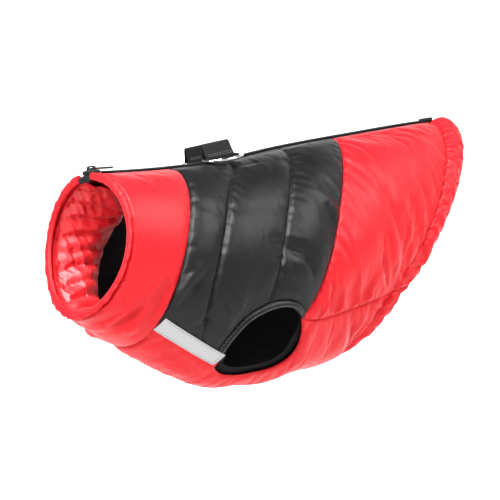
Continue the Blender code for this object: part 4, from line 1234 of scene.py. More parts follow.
@dataclass
class BackPanel:
    """One red back panel, gathered into the belly seam."""

    side: Side
    padding: float = 3.74
    tallest: float = 6.5
    gather: float = 4.4
    pressed: float = 0.65
    zip_seam: float = 3.8
    zip_stitches: float = 3.6
    seed: int = 61
    stuffing: Stuffing = Stuffing(0.03, 1.0)
    folds: tuple = (
        Fold(247, 63, 259, 82, 8, -1.4), Fold(277, 68, 290, 96, 8, -2.2), Fold(290, 96, 306, 110, 8, -2.6),
        Fold(287, 74, 299, 88, 8, -1.6), Fold(299, 88, 301, 97, 7, -1.4), Fold(266, 78, 282, 91, 8, -1.5),
        Fold(252, 87, 264, 100, 8, -1.6), Fold(264, 100, 290, 114, 8, -2.4), Fold(309, 76, 316, 87, 7, -1.2),
        Fold(272, 106, 294, 117, 7, 1.8), Fold(226, 103, 240, 116, 8, -1.6),
        Fold(212, 107, 224, 118, 8, -1.3), Fold(283, 84, 296, 104, 7, 1.6), Fold(258, 19, 272, 24, 7, -0.9),
        Fold(300, 40, 314, 46, 8, -0.8),
        Fold(277, 68, 290, 96, 2.8, -0.8, True), Fold(290, 96, 306, 110, 3, -1.0, True),
        Fold(264, 100, 290, 114, 3, -1.0, True), Fold(287, 74, 300, 92, 2.6, -0.7, True),
        Fold(249, 64, 259, 82, 2.6, -0.6, True), Fold(254, 88, 264, 101, 2.6, -0.6, True),
    )

    ROW_DETAIL: ClassVar = 8
    COLUMN_DETAIL: ClassVar = 7

    def places(self) -> Array:
        """The panel's places."""
        rear = PATTERN.yoke_lines(Yoke(self.side).shares())[-1]
        end = np.array(PATTERN.ARMHOLE_TOP[-1], float)
        steps = stops(1, self.COLUMN_DETAIL, (1,))[1:, None]
        front = np.concatenate((rear, rear[-1:] + (end - rear[-1:]) * steps))
        shares = (front[:, 1] - front[0, 1]) / (front[-1, 1] - front[0, 1])
        start = PATTERN.zip_edge(PATTERN.HEM_SEAM[0][1])
        hem = PATTERN.hem(start + (PATTERN.BELLY_SEAM[-1][1] - start) * shares)
        where = stops(PATTERN.BACK_ROWS, self.ROW_DETAIL, (0, PATTERN.BACK_ROWS)) / PATTERN.BACK_ROWS
        along = front[0, 0] + (hem[0, 0] - front[0, 0]) * where
        top = np.column_stack((along, PATTERN.zip_edge(along)))
        lower = FORM.smooth_line(PATTERN.BELLY_SEAM, where)[:, :2]
        return PATTERN.patch(top, lower, front, hem, where, shares)

    def build(self) -> list[Piece]:
        """Make the panel and its stitches."""
        word = self.side.word
        panel = Panel(f"back_cloth_{word}", self.places(), self.side)
        crinkle, fine = Crinkle(self.seed + self.side.value), Crinkle(self.seed + 9 + self.side.value)
        edges = ease((panel.across - 4.5) / 11) * ease((panel.back - 0.5) / 10)
        puff = self.padding * arch(panel.down / (panel.down[-1:] + 1e-9), 0.62)
        gathers = crinkle.ridges(panel.down / 11 + 0.3 * np.sin(panel.back / 17), panel.back / 46)
        gathers = (gathers - 0.35) * self.gather * np.exp(-panel.back / 20) * ease(panel.back / 3)
        seams = ease(panel.ends / 7)
        folds = panel.lifted(self.folds)
        soft = 0.6 * crinkle.at(panel.across / 30, panel.down / 24 + 5)
        small = 0.25 * fine.at(panel.across / 5, panel.down / 5)
        height = FACE + edges * (0.6 * puff + seams * (folds + soft + gathers) + small)
        sewn = (panel.across < self.zip_seam) | (panel.border < ON_SEAM)
        height = panel.fill(height, sewn, self.stuffing, FACE + self.tallest)
        height = np.maximum(height + self.pressed * edges * seams * (folds + 0.5 * gathers), LOWEST)
        height = panel.rolled(height + panel.zip_puckers(fine, 5, 0.18), [panel.down, panel.up, panel.back])
        cloth = ride(panel.make(height, INSIDE, RED_CLOTH), "red_cloth", f"back_{word}")
        stitches = Stitching(RED_THREAD).sew(f"back_stitches_{word}", "red_cloth",
                                             [panel.trace(panel.across, self.zip_stitches)])
        return [cloth, stitches]


@dataclass
class BellyPanel:
    """The panel under chest and belly, from the collar seam to the hem band."""

    padding: float = 2.38
    tallest: float = 5.0
    gather: float = 1.2
    pressed: float = 0.65
    stuffing: Stuffing = Stuffing(0.025, 1.0)
    half_columns: int = 48
    detail: int = 5
    folds: tuple = (
        Fold(266, 130, 300, 152, 9, -2.0), Fold(292, 132, 308, 158, 9, -2.2),
        Fold(240, 132, 256, 146, 9, -1.2), Fold(82, 156, 108, 163, 9, -2.0), Fold(90, 164, 110, 170, 9, -1.2),
        Fold(214, 132, 224, 146, 9, -1.1),
        Fold(84, 156, 106, 162, 3, -0.7, True), Fold(268, 131, 300, 152, 3, -0.8, True),
        Fold(292, 133, 308, 156, 3, -0.8, True),
    )

    def edge(self) -> Array:
        """The panel's left edge as (along, around, centre, lead)."""
        chest = PATTERN.chest_line
        chest = np.column_stack((chest, chest[:, 0], np.zeros(len(chest))))
        bottom = np.array(PATTERN.ARMHOLE_BOTTOM, float)
        last = len(chest) - 1
        chest = through(chest, stops(last, self.detail, (0, last)))
        link = chest[-1] + (bottom[0] - chest[-1]) * np.linspace(0, 1, self.detail + 1)[1:-1, None]
        rows = PATTERN.ARMHOLE_BOTTOM_ROWS
        armhole = FORM.smooth_line(bottom, stops(rows, self.detail, (0, rows)) / rows)
        rows = PATTERN.BACK_ROWS
        belly = FORM.smooth_line(PATTERN.BELLY_SEAM, stops(rows, self.detail, (rows,)) / rows)
        return np.concatenate((chest, link, armhole, belly[1:]))

    def at_armhole(self) -> Array:
        """How far along the armhole each point of the edge lies, from 0 to 1, and less or more beyond it."""
        edge = self.edge()
        reach = lengths(FORM.point(edge[:, 0], edge[:, 1]))
        first, last = (reach[np.argmin(np.hypot(edge[:, 0] - row[0], edge[:, 1] - row[1]))]
                       for row in (PATTERN.ARMHOLE_BOTTOM[0], PATTERN.ARMHOLE_BOTTOM[-1]))
        return (reach - first) / (last - first)

    def places(self) -> Array:
        """The panel's places, from its left edge to its right one."""
        edge = self.edge()
        shares = np.unique(np.concatenate((np.linspace(0, 1, self.half_columns + 1), [0.008, 0.018])))
        corner = edge[-1]
        reach = lengths(FORM.point(edge[:, 0], edge[:, 1]))
        u = (reach / reach[-1])[:, None]
        along, around, centre, lead = (edge[:, k:k + 1] for k in range(4))
        straight = along + (centre - along) * ease(shares) + shares * (1 - shares)**2 * lead
        end = corner[0] + (corner[2] - corner[0]) * ease(shares) + shares * (1 - shares)**2 * corner[3]
        hem = PATTERN.hem(corner[1] + (PATTERN.BELLY - corner[1]) * shares)
        closing = (hem[:, 0] - end) * u**6
        left = np.stack((straight + closing, around + (PATTERN.BELLY - around) * shares), -1)
        right = np.stack((left[..., 0], 2 * PATTERN.BELLY - left[..., 1]), -1)[:, -2::-1]
        return np.concatenate((left, right), axis=1)

    def build(self) -> list[Piece]:
        """Make the panel."""
        panel = Panel("belly_cloth", self.places())
        crinkle, fine = Crinkle(83), Crinkle(89)
        side = panel.sides
        armhole = near(panel.along - 150, 38)
        edges = ease((side - (4 + 3 * armhole)) / (20 - 8 * armhole)) * ease(panel.ends / 9)
        soft = 0.6 * crinkle.at(panel.across / 24, panel.down / 20)
        small = 0.25 * fine.at(panel.across / 5, panel.down / 5)
        gathers = self.gather * (crinkle.ridges(panel.down / 10, side / 40) - 0.4) * np.exp(-side / 12)
        gathers = gathers * ease(side / 3) * ease((panel.along - 205) / 20)
        folds = panel.lifted(self.folds)
        height = FACE + gathers + edges * (0.7 * self.padding + soft + folds + small)
        taped = (panel.along < PATTERN.ARMHOLE_FRONT + 1) & (side < UNDER_TAPE)
        sewn = taped | (panel.border < ON_SEAM)
        height = panel.fill(np.where(taped, FACE, height), sewn, self.stuffing, FACE + self.tallest)
        height = np.maximum(height + self.pressed * edges * folds, LOWEST)
        height = panel.rolled(height, [panel.down, panel.up, panel.across, panel.back])
        cloth = ride(panel.make(height, INSIDE, RED_CLOTH), "red_cloth", "belly")
        return [cloth]


@dataclass
class HemBand:
    """The padded band round the hem, in three pieces."""

    rows: int = 26
    roll: tuple = ((0, -1.0, -3.0), (0.12, 0.5, -3.2), (0.34, 1.9, -3.4), (0.6, 2.2, -3.6), (0.82, 1.4, -3.5),
                   (0.95, -0.1, -3.1), (1, -1.2, -2.4))
    pucker: float = 0.4
    tallest: float = 4.2
    lowest: float = -2.0
    end_seam: float = 0.3
    stuffing: Stuffing = Stuffing(0.05, 1.2)

    def piece(self, word: str, seam: Array, side: Side, seed: int) -> Piece:
        """Make one piece of the band.

        Args:
            word: how its name and its node's name end.
            seam: places along its seam.
            side: the side that it is on.
            seed: what its puckers are drawn from.
        Returns:
            The piece.
        """
        share = np.unique(np.concatenate((np.linspace(0, 1, self.rows), [0.02, 0.05, 0.97, 0.99])))
        along = seam[None, :, 0] + (PATTERN.HEM_EDGE - seam[None, :, 0]) * share[:, None]
        places = np.stack((along, np.broadcast_to(seam[None, :, 1], along.shape)), -1)
        panel = Panel(f"hem_cloth_{word}", places, side)
        crinkle = Crinkle(seed)
        roll = SmoothTable(self.roll).at(share)[:, None]
        ends = ease(panel.sides / 7)
        waves = crinkle.at(panel.across / 6.5, share[:, None] * 1.3)
        height = FACE + (roll[..., 0] - FACE) * (0.6 + 0.4 * ends)
        height = height + ends * self.pucker * arch(share[:, None]) * waves
        sewn = (panel.ends < self.end_seam) | (panel.sides < ON_SEAM)
        height = panel.fill(height, sewn, self.stuffing, self.tallest, self.lowest)
        height = panel.rolled(height, [panel.down, panel.across, panel.back])
        piece = ride(panel.make(height, roll[..., 1], RED_CLOTH), "red_cloth", f"hem_{word}")
        return piece

    def build(self) -> list[Piece]:
        """Make the three pieces."""
        start, corner = PATTERN.zip_edge(PATTERN.HEM_SEAM[0][1]), PATTERN.BELLY_SEAM[-1][1]
        seam = PATTERN.hem(np.linspace(start, corner, 150))
        pieces = [self.piece(side.word, seam, side, 101 + side.value) for side in Side]
        under = PATTERN.hem(np.linspace(corner, 2 * PATTERN.BELLY - corner, 110))
        return [*pieces, self.piece("belly", under, Side.LEFT, 107)]


@dataclass
class ArmholeBinding:
    """The rolled binding on the yoke's edge of an armhole."""

    side: Side
    roll: tuple = ((0, -1.0, -3.0), (0.25, -0.3, -3.3), (0.55, 0.3, -3.4), (0.85, -0.2, -3.2),
                   (1, -1.2, -2.6))
    detail: int = 7
    pucker: float = 0.35
    stitch_rows: tuple = (1.2, 3.7)

    def build(self) -> list[Piece]:
        """Make the binding and its two rows of stitches."""
        last = len(PATTERN.binding_line) - 1
        where = stops(last, self.detail)
        seam, edge = through(PATTERN.binding_line, where), through(PATTERN.armhole_edge, where)
        share = np.linspace(0, 1, 14)
        places = seam[:, None] + (edge - seam)[:, None] * share[None, :, None]
        panel = Panel(f"armhole_roll_{self.side.word}", places, self.side)
        roll = SmoothTable(self.roll).at(share)[None]
        ends = ease((np.minimum(where, last - where) - 0.3) / 1.5)[:, None]
        crinkle = Crinkle(131 + self.side.value)
        waves = self.pucker * crinkle.at(panel.down / 2.6, share[None] * 1.2) * arch(share[None]) * ends
        height = FACE + (roll[..., 0] - FACE) * np.where(roll[..., 0] > FACE, ends, 1) + waves
        height = panel.rolled(height, [panel.across])
        cloth = ride(panel.make(height, roll[..., 1], BLACK_NYLON), "black_nylon",
                     f"armhole_binding_{self.side.word}")
        stitches = Stitching(BLACK_THREAD, length=1.9, gap=0.7, radius=0.24, sunk=0.1).sew(
            f"armhole_stitches_{self.side.word}", "black_nylon",
            [panel.trace(panel.across, at) for at in self.stitch_rows])
        return [cloth, stitches]


@dataclass
class Linings:
    """The black lining behind yoke, back and belly."""

    inside: float = -4.8
    thickness: float = 0.8
    columns: int = 44
    slack_edge: float = 6.5
    slack_columns: int = 9
    slack_drop: float = 1.6

    def build(self) -> list[Piece]:
        """Make the three linings."""
        pieces = []
        for side in Side:
            grids = []
            for places in (Yoke(side).places()[0][:-1], BackPanel(side).places()):
                columns = np.linspace(0, places.shape[1] - 1, self.columns).astype(int)
                grids.append(places[::3][:, columns])
            pieces.append(self.sheet(side.word, np.concatenate(grids), side))
        panel = BellyPanel(detail=3)
        places, edge, share = panel.places()[:, ::2], panel.edge()[:, :2], panel.at_armhole()
        slack = ease(share / 0.1 + 1) * ease((1 - share) / 0.2)
        lip = FORM.beside(edge, self.slack_edge) - edge
        near_edge = np.clip(1 - np.arange(places.shape[1]) / self.slack_columns, 0, 1)**2
        move = lip[:, None] * (slack[:, None] * near_edge)[..., None]
        places = places + move + move[:, ::-1] * np.array((1, -1))
        drop = self.slack_drop * (slack[:, None] * (near_edge + near_edge[::-1]))
        pieces.append(self.sheet("belly", places, Side.LEFT, drop))
        return pieces

    def sheet(self, word: str, places: Array, side: Side,
              drop: Values = 0.0) -> Piece:
        """Make one lining, with soft folds.

        Args:
            word: how its name and its node's name end.
            places: its places.
            side: the side that it is on.
            drop: how much further in it lies.
        Returns:
            The piece.
        """
        panel = Panel(f"lining_cloth_{word}", places, side)
        crinkle = Crinkle(151)
        sag = 1.2 * crinkle.ridges(panel.across / 22 + panel.down / 50, panel.down / 40)
        sag = ease(panel.border / 14) * (sag + 0.4 * crinkle.at(panel.across / 9, panel.down / 14))
        inside = self.inside - sag - drop
        piece = ride(panel.make(inside + self.thickness, inside, BLACK_LINING), "black_lining",
                     f"lining_{word}")
        return piece


@dataclass
class ReflectiveTape:
    """The silver tape over the seam of yoke and chest."""

    side: Side
    width: float = 12.0
    lift: float = 0.5
    thickness: float = 0.6
    stitch_line: float = 1.1
    end_stitches: tuple = (1.2, 2.6)

    def build(self) -> list[Piece]:
        """Make the tape and its stitches."""
        word = self.side.word
        along = np.linspace(PATTERN.COLLAR_SEAM + 0.7, PATTERN.ARMHOLE_FRONT - 0.4, 46)
        seam = np.column_stack((along, PATTERN.chest_seam(along)))
        lines = [FORM.beside(seam, self.width / 2 * share) for share in np.linspace(-1, 1, 19)]
        panel = Panel(f"reflective_tape_{word}", np.stack(lines, axis=1), self.side)
        base = FACE + self.lift
        height = base + self.thickness + 0.12 * Crinkle(171).at(panel.down / 6, panel.across / 6)
        height = height - 0.3 * near(panel.sides - self.stitch_line, 0.5) - 0.25 * near(panel.border, 0.35)
        tape = ride(panel.make(height, base, REFLECTIVE, draw_in=False), "reflective", f"tape_{word}")
        runs = [panel.trace(distance, self.stitch_line) for distance in (panel.across, panel.back)]
        runs += [panel.trace(panel.up, at) for at in self.end_stitches]
        stitches = Stitching(GREY_THREAD, length=1.5, gap=1.0, radius=0.26).sew(
            f"tape_stitches_{word}", "reflective", runs)
        return [tape, stitches]


# ---------------------------------------------------------------- zip, loops and rings

@dataclass
class Zip:
    """The closed zip on the spine: tapes, teeth, end box and slider."""

    tape_face: float = -1.2
    turn_down: float = 6.0
    tape_end: float = 338.5
    tape_seen: float = 6.8
    chain_start: float = 12.9
    chain_end: float = 322.0
    tooth_pitch: float = 0.78
    tooth_reach: float = 1.75
    tooth_radius: float = 0.5
    tooth_height: float = 1.2
    tooth_out: float = 0.0
    tooth_aside: float = 0.75
    first_tooth: float = 0.4
    slider_along: float = 7.5
    slider_bottom: float = -0.8
    slider_length: float = 10.0
    slider_front_half: float = 4.6
    slider_rear_half: float = 3.7
    slider_top: float = 1.9
    bridge_half: float = 2.65
    bridge_width: float = 2.6
    bridge_top: float = 4.45
    bridge_thickness: float = 0.9
    box: tuple = (8.0, 8.4, 3.4)
    box_gap: float = 0.3
    box_bottom: float = -0.9
    corner: float = 1.3
    slider_bevel: float = 0.45
    box_bevel: float = 0.5
    tab_bevel: float = 0.22

    SHARP: ClassVar = 40
    RIM: ClassVar = 0.8

    @staticmethod
    def seat(along: float, out: float) -> Matrix:
        """The frame on the spine at a place along: X along the zip, Y across it, Z out."""
        lengthwise = Vector(FORM.courses(along, 0.0)[0]).normalized()
        up = Vector(FORM.outward(along, 0.0))
        turn = Matrix((lengthwise, up.cross(lengthwise), up)).transposed().to_4x4()
        return Matrix.Translation(Vector(FORM.skin(along, 0.0, out)) * MM) @ turn

    def tape(self, side: Side) -> Piece:
        """One woven tape, its end turned down at the neck."""
        front = SmoothTable(((0, 0.5, -self.turn_down), (1, 0.45, -4.2), (2, 0.9, -2.2),
                             (3, 2.8, self.tape_face)))
        turned = front.at(np.linspace(0, 3, 16))
        body = np.arange(4.5, self.tape_end, 1.7)
        along = np.concatenate((turned[:, 0], body, [self.tape_end]))
        out = np.concatenate((turned[:, 1], np.full(len(body) + 1, self.tape_face)))
        y = np.array((0.25, 0.9, 1.6, 2.4, 3.0, 3.6, 4.6, 5.8, self.tape_seen, 7.1, 8.4))
        ridge = np.array((0.15, 0.35, 0.45, 0.35, 0.15, 0, 0, 0, 0, -1.95, -2.05))
        thick = np.array([0.7] * 9 + [0.5, 0.45])
        grid = [np.repeat(values[:, None], len(y), 1) for values in (along, out)]
        flat = ease((grid[1] + 3) / 1.0)
        sewn_in = np.clip(y - self.tape_seen, 0, None) * 0.9
        around = FORM.crosswise(grid[0], (y - (1 - flat) * sewn_in) * side.value)
        outer = FORM.skin(grid[0], around, grid[1] + ridge[None] * flat)
        inner = FORM.skin(grid[0] + thick * (1 - flat), around, grid[1] - thick * flat)
        name = f"zip_weave_{side.word}"
        piece = ZIP_WEAVE.on(finished(name, grid_mesh(name, outer, inner)))
        ride(piece, "black_webbing", f"zip_tape_{side.word}")
        return piece

    def teeth(self) -> Piece:
        """The coil teeth, which reach over the middle from each side in turn."""
        shape = bmesh.new()
        count = int((self.chain_end - self.chain_start) / self.tooth_pitch)
        for k in range(count):
            along = self.chain_start + self.first_tooth + k * self.tooth_pitch
            y = (1 if k % 2 else -1) * self.tooth_aside
            place = self.seat(along, self.tooth_out) @ Matrix.Translation((0, y * MM, 0)) @ Matrix.Diagonal(
                (self.tooth_radius * MM, self.tooth_reach * MM, self.tooth_height * MM, 1))
            bmesh.ops.create_uvsphere(shape, u_segments=8, v_segments=6, radius=1,
                                      matrix=place @ Matrix.Rotation(math.pi / 2, 4, "X"))
        bmesh.ops.recalc_face_normals(shape, faces=shape.faces)
        piece = TEETH_PLASTIC.on(finished("zip_teeth", placed(shape, "zip_teeth")))
        return ride(piece, "black_plastic", "zip_chain")

    def block(self, name: str, sizes: tuple[float, float, float, float], place: Matrix, bevel: float,
              finish: Finish) -> Piece:
        """A rounded block, as long and high as told and narrowing from front to rear."""
        length, front_half, rear_half, height = sizes
        shape = bmesh.new()
        bmesh.ops.create_cube(shape, size=1)
        for vertex in shape.verts:
            half = front_half if vertex.co.x < 0 else rear_half
            x, y, z = vertex.co
            vertex.co = Vector((x * length, y * 2 * half, (z + 0.5) * height)) * MM
        upright = [edge for edge in shape.edges
                   if abs(edge.verts[0].co.z - edge.verts[1].co.z) > height * MM / 2]
        self.round_off(shape, upright, self.corner, 4)
        self.round_off(shape, self.rim(shape), bevel, 3)
        bmesh.ops.transform(shape, matrix=place, verts=shape.verts)
        return finish.on(finished(name, placed(shape, name), self.SHARP))

    def rim(self, shape: BMesh) -> list[bmesh.types.BMEdge]:
        """The sharp edges of a shape."""
        return [edge for edge in shape.edges if edge.calc_face_angle(0) > self.RIM]

    @staticmethod
    def round_off(shape: BMesh, edges: list[bmesh.types.BMEdge], size: float, segments: int) -> None:
        """Round edges of a shape off."""
        bmesh.ops.bevel(shape, geom=edges, offset=size * MM, segments=segments, profile=0.5,
                        affect="EDGES", material=-1)

    def slider(self) -> Piece:
        """The slider: two plates round the teeth, with a bridge for the pull tab."""
        place = self.seat(self.slider_along, self.slider_bottom)
        height = self.slider_top - self.slider_bottom
        sizes = (self.slider_length, self.slider_front_half, self.slider_rear_half, height)
        piece = self.block("slider_body", sizes, place, self.slider_bevel, BLACK_ENAMEL)
        crown, half = self.bridge_top - self.slider_bottom, self.bridge_half
        rise = ((half, height - 0.5), (half, height + 0.9), (half - 0.25, crown - 0.45), (half - 0.9, crown))
        path = np.array([(-x, z) for x, z in rise] + [(0, crown + 0.04)] + list(reversed(rise)))
        line = through(path, np.linspace(0, len(path) - 1, 33))
        run = unit(np.gradient(line, axis=0))
        up = np.column_stack((-run[:, 1], run[:, 0])) * self.bridge_thickness / 2
        across = np.linspace(-self.bridge_width / 2, self.bridge_width / 2, 5)
        layers = [np.stack([np.insert(flank, 1, y, axis=1) for y in across], 1)
                  for flank in (line + up, line - up)]
        mesh = grid_mesh("bridge", *layers)
        shape = bmesh.new()
        shape.from_mesh(mesh)
        bmesh.ops.transform(shape, matrix=place, verts=shape.verts)
        shape.from_mesh(piece.data)
        shape.to_mesh(piece.data)
        shape.free()
        bpy.data.meshes.remove(mesh)
        piece.data.shade_smooth()
        piece.data.set_sharp_from_angle(angle=math.radians(self.SHARP))
        return ride(piece, "black_metal", "zip_slider")

    def build(self) -> list[Piece]:
        """Make the zip."""
        pieces = [self.tape(side) for side in Side]
        pieces += [self.teeth(), self.slider()]
        length, width, height = self.box
        place = self.seat(self.chain_end + self.box_gap + length / 2, self.box_bottom)
        end = self.block("zip_end_box", (length, width / 2, width / 2, height), place, self.box_bevel,
                         TEETH_PLASTIC)
        pieces.append(ride(end, "black_plastic", "zip_box"))
        pieces.append(self.pull())
        return pieces

    def pull(self) -> Piece:
        """The pull tab, with its edges rounded off."""
        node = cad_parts["zip_pull"]
        shape = bmesh.new()
        shape.from_mesh(node.data)
        bmesh.ops.remove_doubles(shape, verts=shape.verts, dist=SAME_PLACE)
        bmesh.ops.transform(shape, matrix=node.matrix_world, verts=shape.verts)
        bmesh.ops.dissolve_limit(shape, angle_limit=math.radians(1), verts=shape.verts, edges=shape.edges)
        self.round_off(shape, self.rim(shape), self.tab_bevel, 3)
        piece = BLACK_ENAMEL.on(finished("pull_tab", placed(shape, "pull_tab"), self.SHARP))
        return ride(piece, "black_metal", "zip_pull", body=Body.PULL)


@dataclass
class HarnessPoint:
    """A webbing loop beside the zip, and the D-ring whose bar it holds."""

    side: Side
    loop_x: float = 16.0
    loop_y: float = 9.2
    lean: float = 18.0
    lean_start: float = 4.3
    length: float = 25.0
    clearance: float = 0.75
    webbing: float = 1.3
    wire_radius: float = 1.3
    wire_out: float = 2.9
    ring_half_width: float = 14.3
    ring_depth: float = 16.5
    ring_corner: float = 2.6
    ring_shoulder: float = 4.5
    ring_rest: float = 9.0
    rib_mm: float = 1.15
    rib_depth: float = 0.10
    stitch_heights: tuple = (4.9, 6.2)

    def place(self) -> Matrix:
        """The loop's frame: X along the coat, Z out of it, with its base at the origin."""
        along = float(SmoothTable([(ring.top_x, ring.along) for ring in FORM.RINGS]).at(self.loop_x)[0])
        around = float(FORM.crosswise(along, self.loop_y * self.side.value))
        base, up = FORM.skin(along, around, FACE + self.clearance), FORM.outward(along, around)
        turn = Matrix.Rotation(math.atan2(-up[1], up[2]), 4, "X")
        return Matrix.Translation(Vector((self.loop_x, base[1], base[2])) * MM) @ turn

    def loop(self) -> list[Piece]:
        """The webbing loop, ribbed, with two rows of stitches above the ring's bar."""
        half = self.webbing / 2
        eye = self.wire_radius + 0.3 + half
        rise = ((0.3, half), (eye - 0.55, half), (eye - 0.12, half + 0.25), (eye, half + 0.9), (eye, 4.3),
                (1.45, 8.0), (1.0, 11.6), (0.72, 12.8))
        path = np.array(list(rise) + [(0.0, 13.4)] + [(-y, z) for y, z in reversed(rise)])
        lean = math.tan(math.radians(self.lean))
        path[:, 0] += np.clip(path[:, 1] - self.lean_start, 0, None) * lean * self.side.value
        line = through(path, np.linspace(0, len(path) - 1, 210))
        run = unit(np.gradient(line, axis=0))
        up = np.column_stack((-run[:, 1], run[:, 0]))
        rib = self.rib_depth * (np.abs(np.sin(np.pi * lengths(line) / self.rib_mm)) - 1)
        across = np.linspace(-self.length / 2, self.length / 2, 41)
        depth = half + rib[:, None] - 0.3 * near(np.abs(across) - self.length / 2, 0.5)
        place = np.array(self.place())
        layers = []
        for sign in (1, -1):
            flank = line[:, None] + up[:, None] * (depth * sign)[..., None]
            layer = np.insert(flank, 0, -across, axis=2)
            layers.append(layer @ place[:3, :3].T + place[:3, 3] / MM)
        name = f"webbing_{self.side.word}"
        loop = BLACK_WEBBING.on(finished(name, grid_mesh(name, *layers)))
        ride(loop, "black_webbing", f"loop_{self.side.word}")
        rows = []
        legs = np.array_split(np.arange(len(line)), 2)
        for height in self.stitch_heights:
            for leg, course in zip(legs, (-1, 1)):
                i = leg[np.argmin(np.abs(line[leg, 1] - height))]
                outside = 0 if up[i, 0] * course < 0 else 1
                points = layers[outside][i, 2:-2]
                rows.append((points, unit(points - layers[1 - outside][i, 2:-2])))
        stitches = Stitching(BLACK_THREAD, length=1.8, gap=0.6).sew(f"webbing_stitches_{self.side.word}",
                                                                    "black_webbing", rows)
        return [loop, stitches]

    def ring(self) -> Piece:
        """The D-ring, of round wire."""
        straight = self.ring_half_width - self.ring_corner
        half = [(x, 0.0) for x in np.linspace(0, straight, 8)[:-1]]
        half += [(straight + self.ring_corner * math.sin(a), self.ring_corner * (1 - math.cos(a)))
                 for a in np.linspace(0, math.pi / 2, 9)[:-1]]
        half += [(self.ring_half_width * math.cos(a),
                  self.ring_shoulder + (self.ring_depth - self.ring_shoulder) * math.sin(a))
                 for a in np.linspace(0, math.pi / 2, 26)]
        path = np.array(half + [(-x, y) for x, y in reversed(half[1:-1])])
        run = unit(np.roll(path, -1, axis=0) - np.roll(path, 1, axis=0))
        across = np.column_stack((run[:, 1], -run[:, 0], np.zeros(len(run))))
        angles = np.linspace(0, 2 * math.pi, 19)[:-1]
        section = np.column_stack((np.cos(angles), np.sin(angles))) * self.wire_radius
        up = np.broadcast_to(np.array((0.0, 0.0, 1.0)), across.shape)
        points = np.column_stack((path, np.zeros(len(path))))
        flip = np.array((1, -self.side.value, 1))
        name = f"ring_wire_{self.side.word}"
        mesh = tube_mesh(name, points * flip, across * flip, up, section)
        bar = self.place() @ Vector((0, 0, self.wire_out * MM))
        turn = Matrix.Rotation(math.radians(self.ring_rest) * self.side.value, 4, "X")
        mesh.transform(Matrix.Translation(bar) @ turn)
        piece = CHROME.on(finished(name, mesh))
        return ride(piece, "chrome", f"ring_{self.side.word}", body=Body[f"RING_{self.side.name}"])

    def build(self) -> list[Piece]:
        """Make the loop and its ring."""
        return [*self.loop(), self.ring()]


# ---------------------------------------------------------------- studio

def toward(azimuth: float, elevation: float) -> Vector:
    """The direction from the coat at an azimuth and an elevation."""
    a, e = math.radians(azimuth), math.radians(elevation)
    return Vector((math.sin(a) * math.cos(e), -math.cos(a) * math.cos(e), math.sin(e)))


@dataclass(frozen=True)
class SoftBox:
    """A square area light."""

    azimuth: float
    elevation: float
    distance: float
    size: float
    watts: float
    aim: tuple[float, float, float] = COAT_MIDDLE

    def hang(self) -> None:
        """Put the light up."""
        light = bpy.data.lights.new("soft_box", "AREA")
        light.shape, light.size, light.energy = "SQUARE", self.size, self.watts
        lamp = linked("soft_box", light)
        lamp.location = toward(self.azimuth, self.elevation) * self.distance
        lamp.rotation_euler = (lamp.location - Vector(self.aim)).to_track_quat("Z", "Y").to_euler()


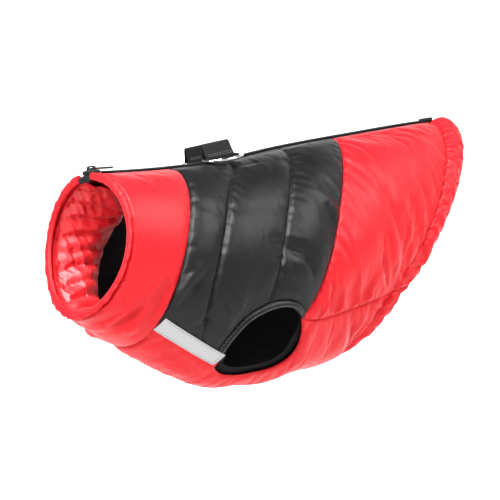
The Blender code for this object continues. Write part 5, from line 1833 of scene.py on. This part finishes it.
@dataclass(frozen=True)
class Studio:
    """The camera at the photo's angle, and a round white studio with soft light."""

    azimuth: float = -40.0
    elevation: float = 3.0
    roll: float = 12.5
    distance: float = 1.4
    view_width: float = 0.35
    sensor: float = 36.0
    target: tuple[float, float, float] = COAT_MIDDLE
    floor_z: float = -0.30
    wall_radius: float = 4.0
    wall_top: float = 3.0
    cove: float = 1.2
    sky: float = 0.10
    boxes: tuple = (
        SoftBox(-85, 30, 1.2, 0.6, 18),
        SoftBox(-40, 60, 1.3, 0.6, 34),
        SoftBox(36, 30, 1.4, 0.8, 16),
        SoftBox(140, 50, 2.2, 1.5, 130, (2.2, 2.6, 0.2)),
        SoftBox(125, 45, 1.3, 1.0, 120, (1.9, 1.5, -0.3)),
        SoftBox(-40, 75, 2.4, 1.2, 34, (-2.4, -2.9, 0.6)),
    )

    def camera(self) -> None:
        """Set up the camera."""
        back = toward(self.azimuth, self.elevation)
        a, r = math.radians(self.azimuth), math.radians(self.roll)
        right = Vector((math.cos(a), math.sin(a), 0))
        up = back.cross(right)
        turned = (right * math.cos(r) - up * math.sin(r), up * math.cos(r) + right * math.sin(r), back)
        data = bpy.data.cameras.new("photo_view")
        data.sensor_width = self.sensor
        data.lens = self.sensor * self.distance / self.view_width
        camera = linked("photo_view", data)
        camera.matrix_world = (Matrix.Translation(Vector(self.target) + back * self.distance)
                               @ Matrix(turned).transposed().to_4x4())
        bpy.context.scene.camera = camera

    def room(self) -> None:
        """Make the floor, which runs up into a round wall."""
        shape = bmesh.new()
        profile = [(0.0, 0.0)]
        profile += [(self.wall_radius - self.cove * (1 - math.sin(t)), self.cove * (1 - math.cos(t)))
                    for t in np.linspace(0, math.pi / 2, 17)]
        profile.append((self.wall_radius, self.wall_top))
        line = [shape.verts.new((radius, 0, self.floor_z + height)) for radius, height in profile]
        for first, second in zip(line, line[1:]):
            shape.edges.new((first, second))
        bmesh.ops.spin(shape, geom=shape.verts[:] + shape.edges[:], axis=(0, 0, 1), cent=(0, 0, 0), steps=96,
                       angle=2 * math.pi, use_merge=True)
        bmesh.ops.remove_doubles(shape, verts=shape.verts, dist=1e-5)
        bmesh.ops.recalc_face_normals(shape, faces=shape.faces)
        if sum(face.normal.z * face.calc_area() for face in shape.faces) < 0:
            bmesh.ops.reverse_faces(shape, faces=shape.faces)
        room = finished("pale_floor", placed(shape, "pale_floor"))
        recipe = Recipe("pale_floor")
        patches = recipe.noise(400, 2)
        room.data.materials.append(recipe.dress(
            Base_Color=recipe.blend(patches, (0.58, 0.58, 0.58), (0.60, 0.60, 0.60)), Roughness=0.8))

    def light(self) -> None:
        """Put up the room, the sky and the lights."""
        self.room()
        world = bpy.data.worlds.new("studio")
        bpy.context.scene.world = world
        world.use_nodes = True
        sky = world.node_tree.nodes["Background"]
        sky.inputs["Color"].default_value = (1, 1, 1, 1)
        sky.inputs["Strength"].default_value = self.sky
        for box in self.boxes:
            box.hang()
        bpy.context.scene.view_settings.view_transform = "Standard"


def main() -> None:
    """Build the jacket's looks."""
    logging.basicConfig(level=logging.INFO, format="%(message)s")
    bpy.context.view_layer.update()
    studio = Studio()
    studio.camera()
    pieces = [*Collar().build(), *BellyPanel().build(), *HemBand().build(), *Linings().build()]
    for side in Side:
        pieces += Yoke(side).build()
        pieces += BackPanel(side).build()
        pieces += ArmholeBinding(side).build()
        pieces += ReflectiveTape(side).build()
        pieces += HarnessPoint(side).build()
    pieces += Zip().build()
    studio.light()
    log.info("%d pieces", len(pieces))


if __name__ == "__main__":
    main()
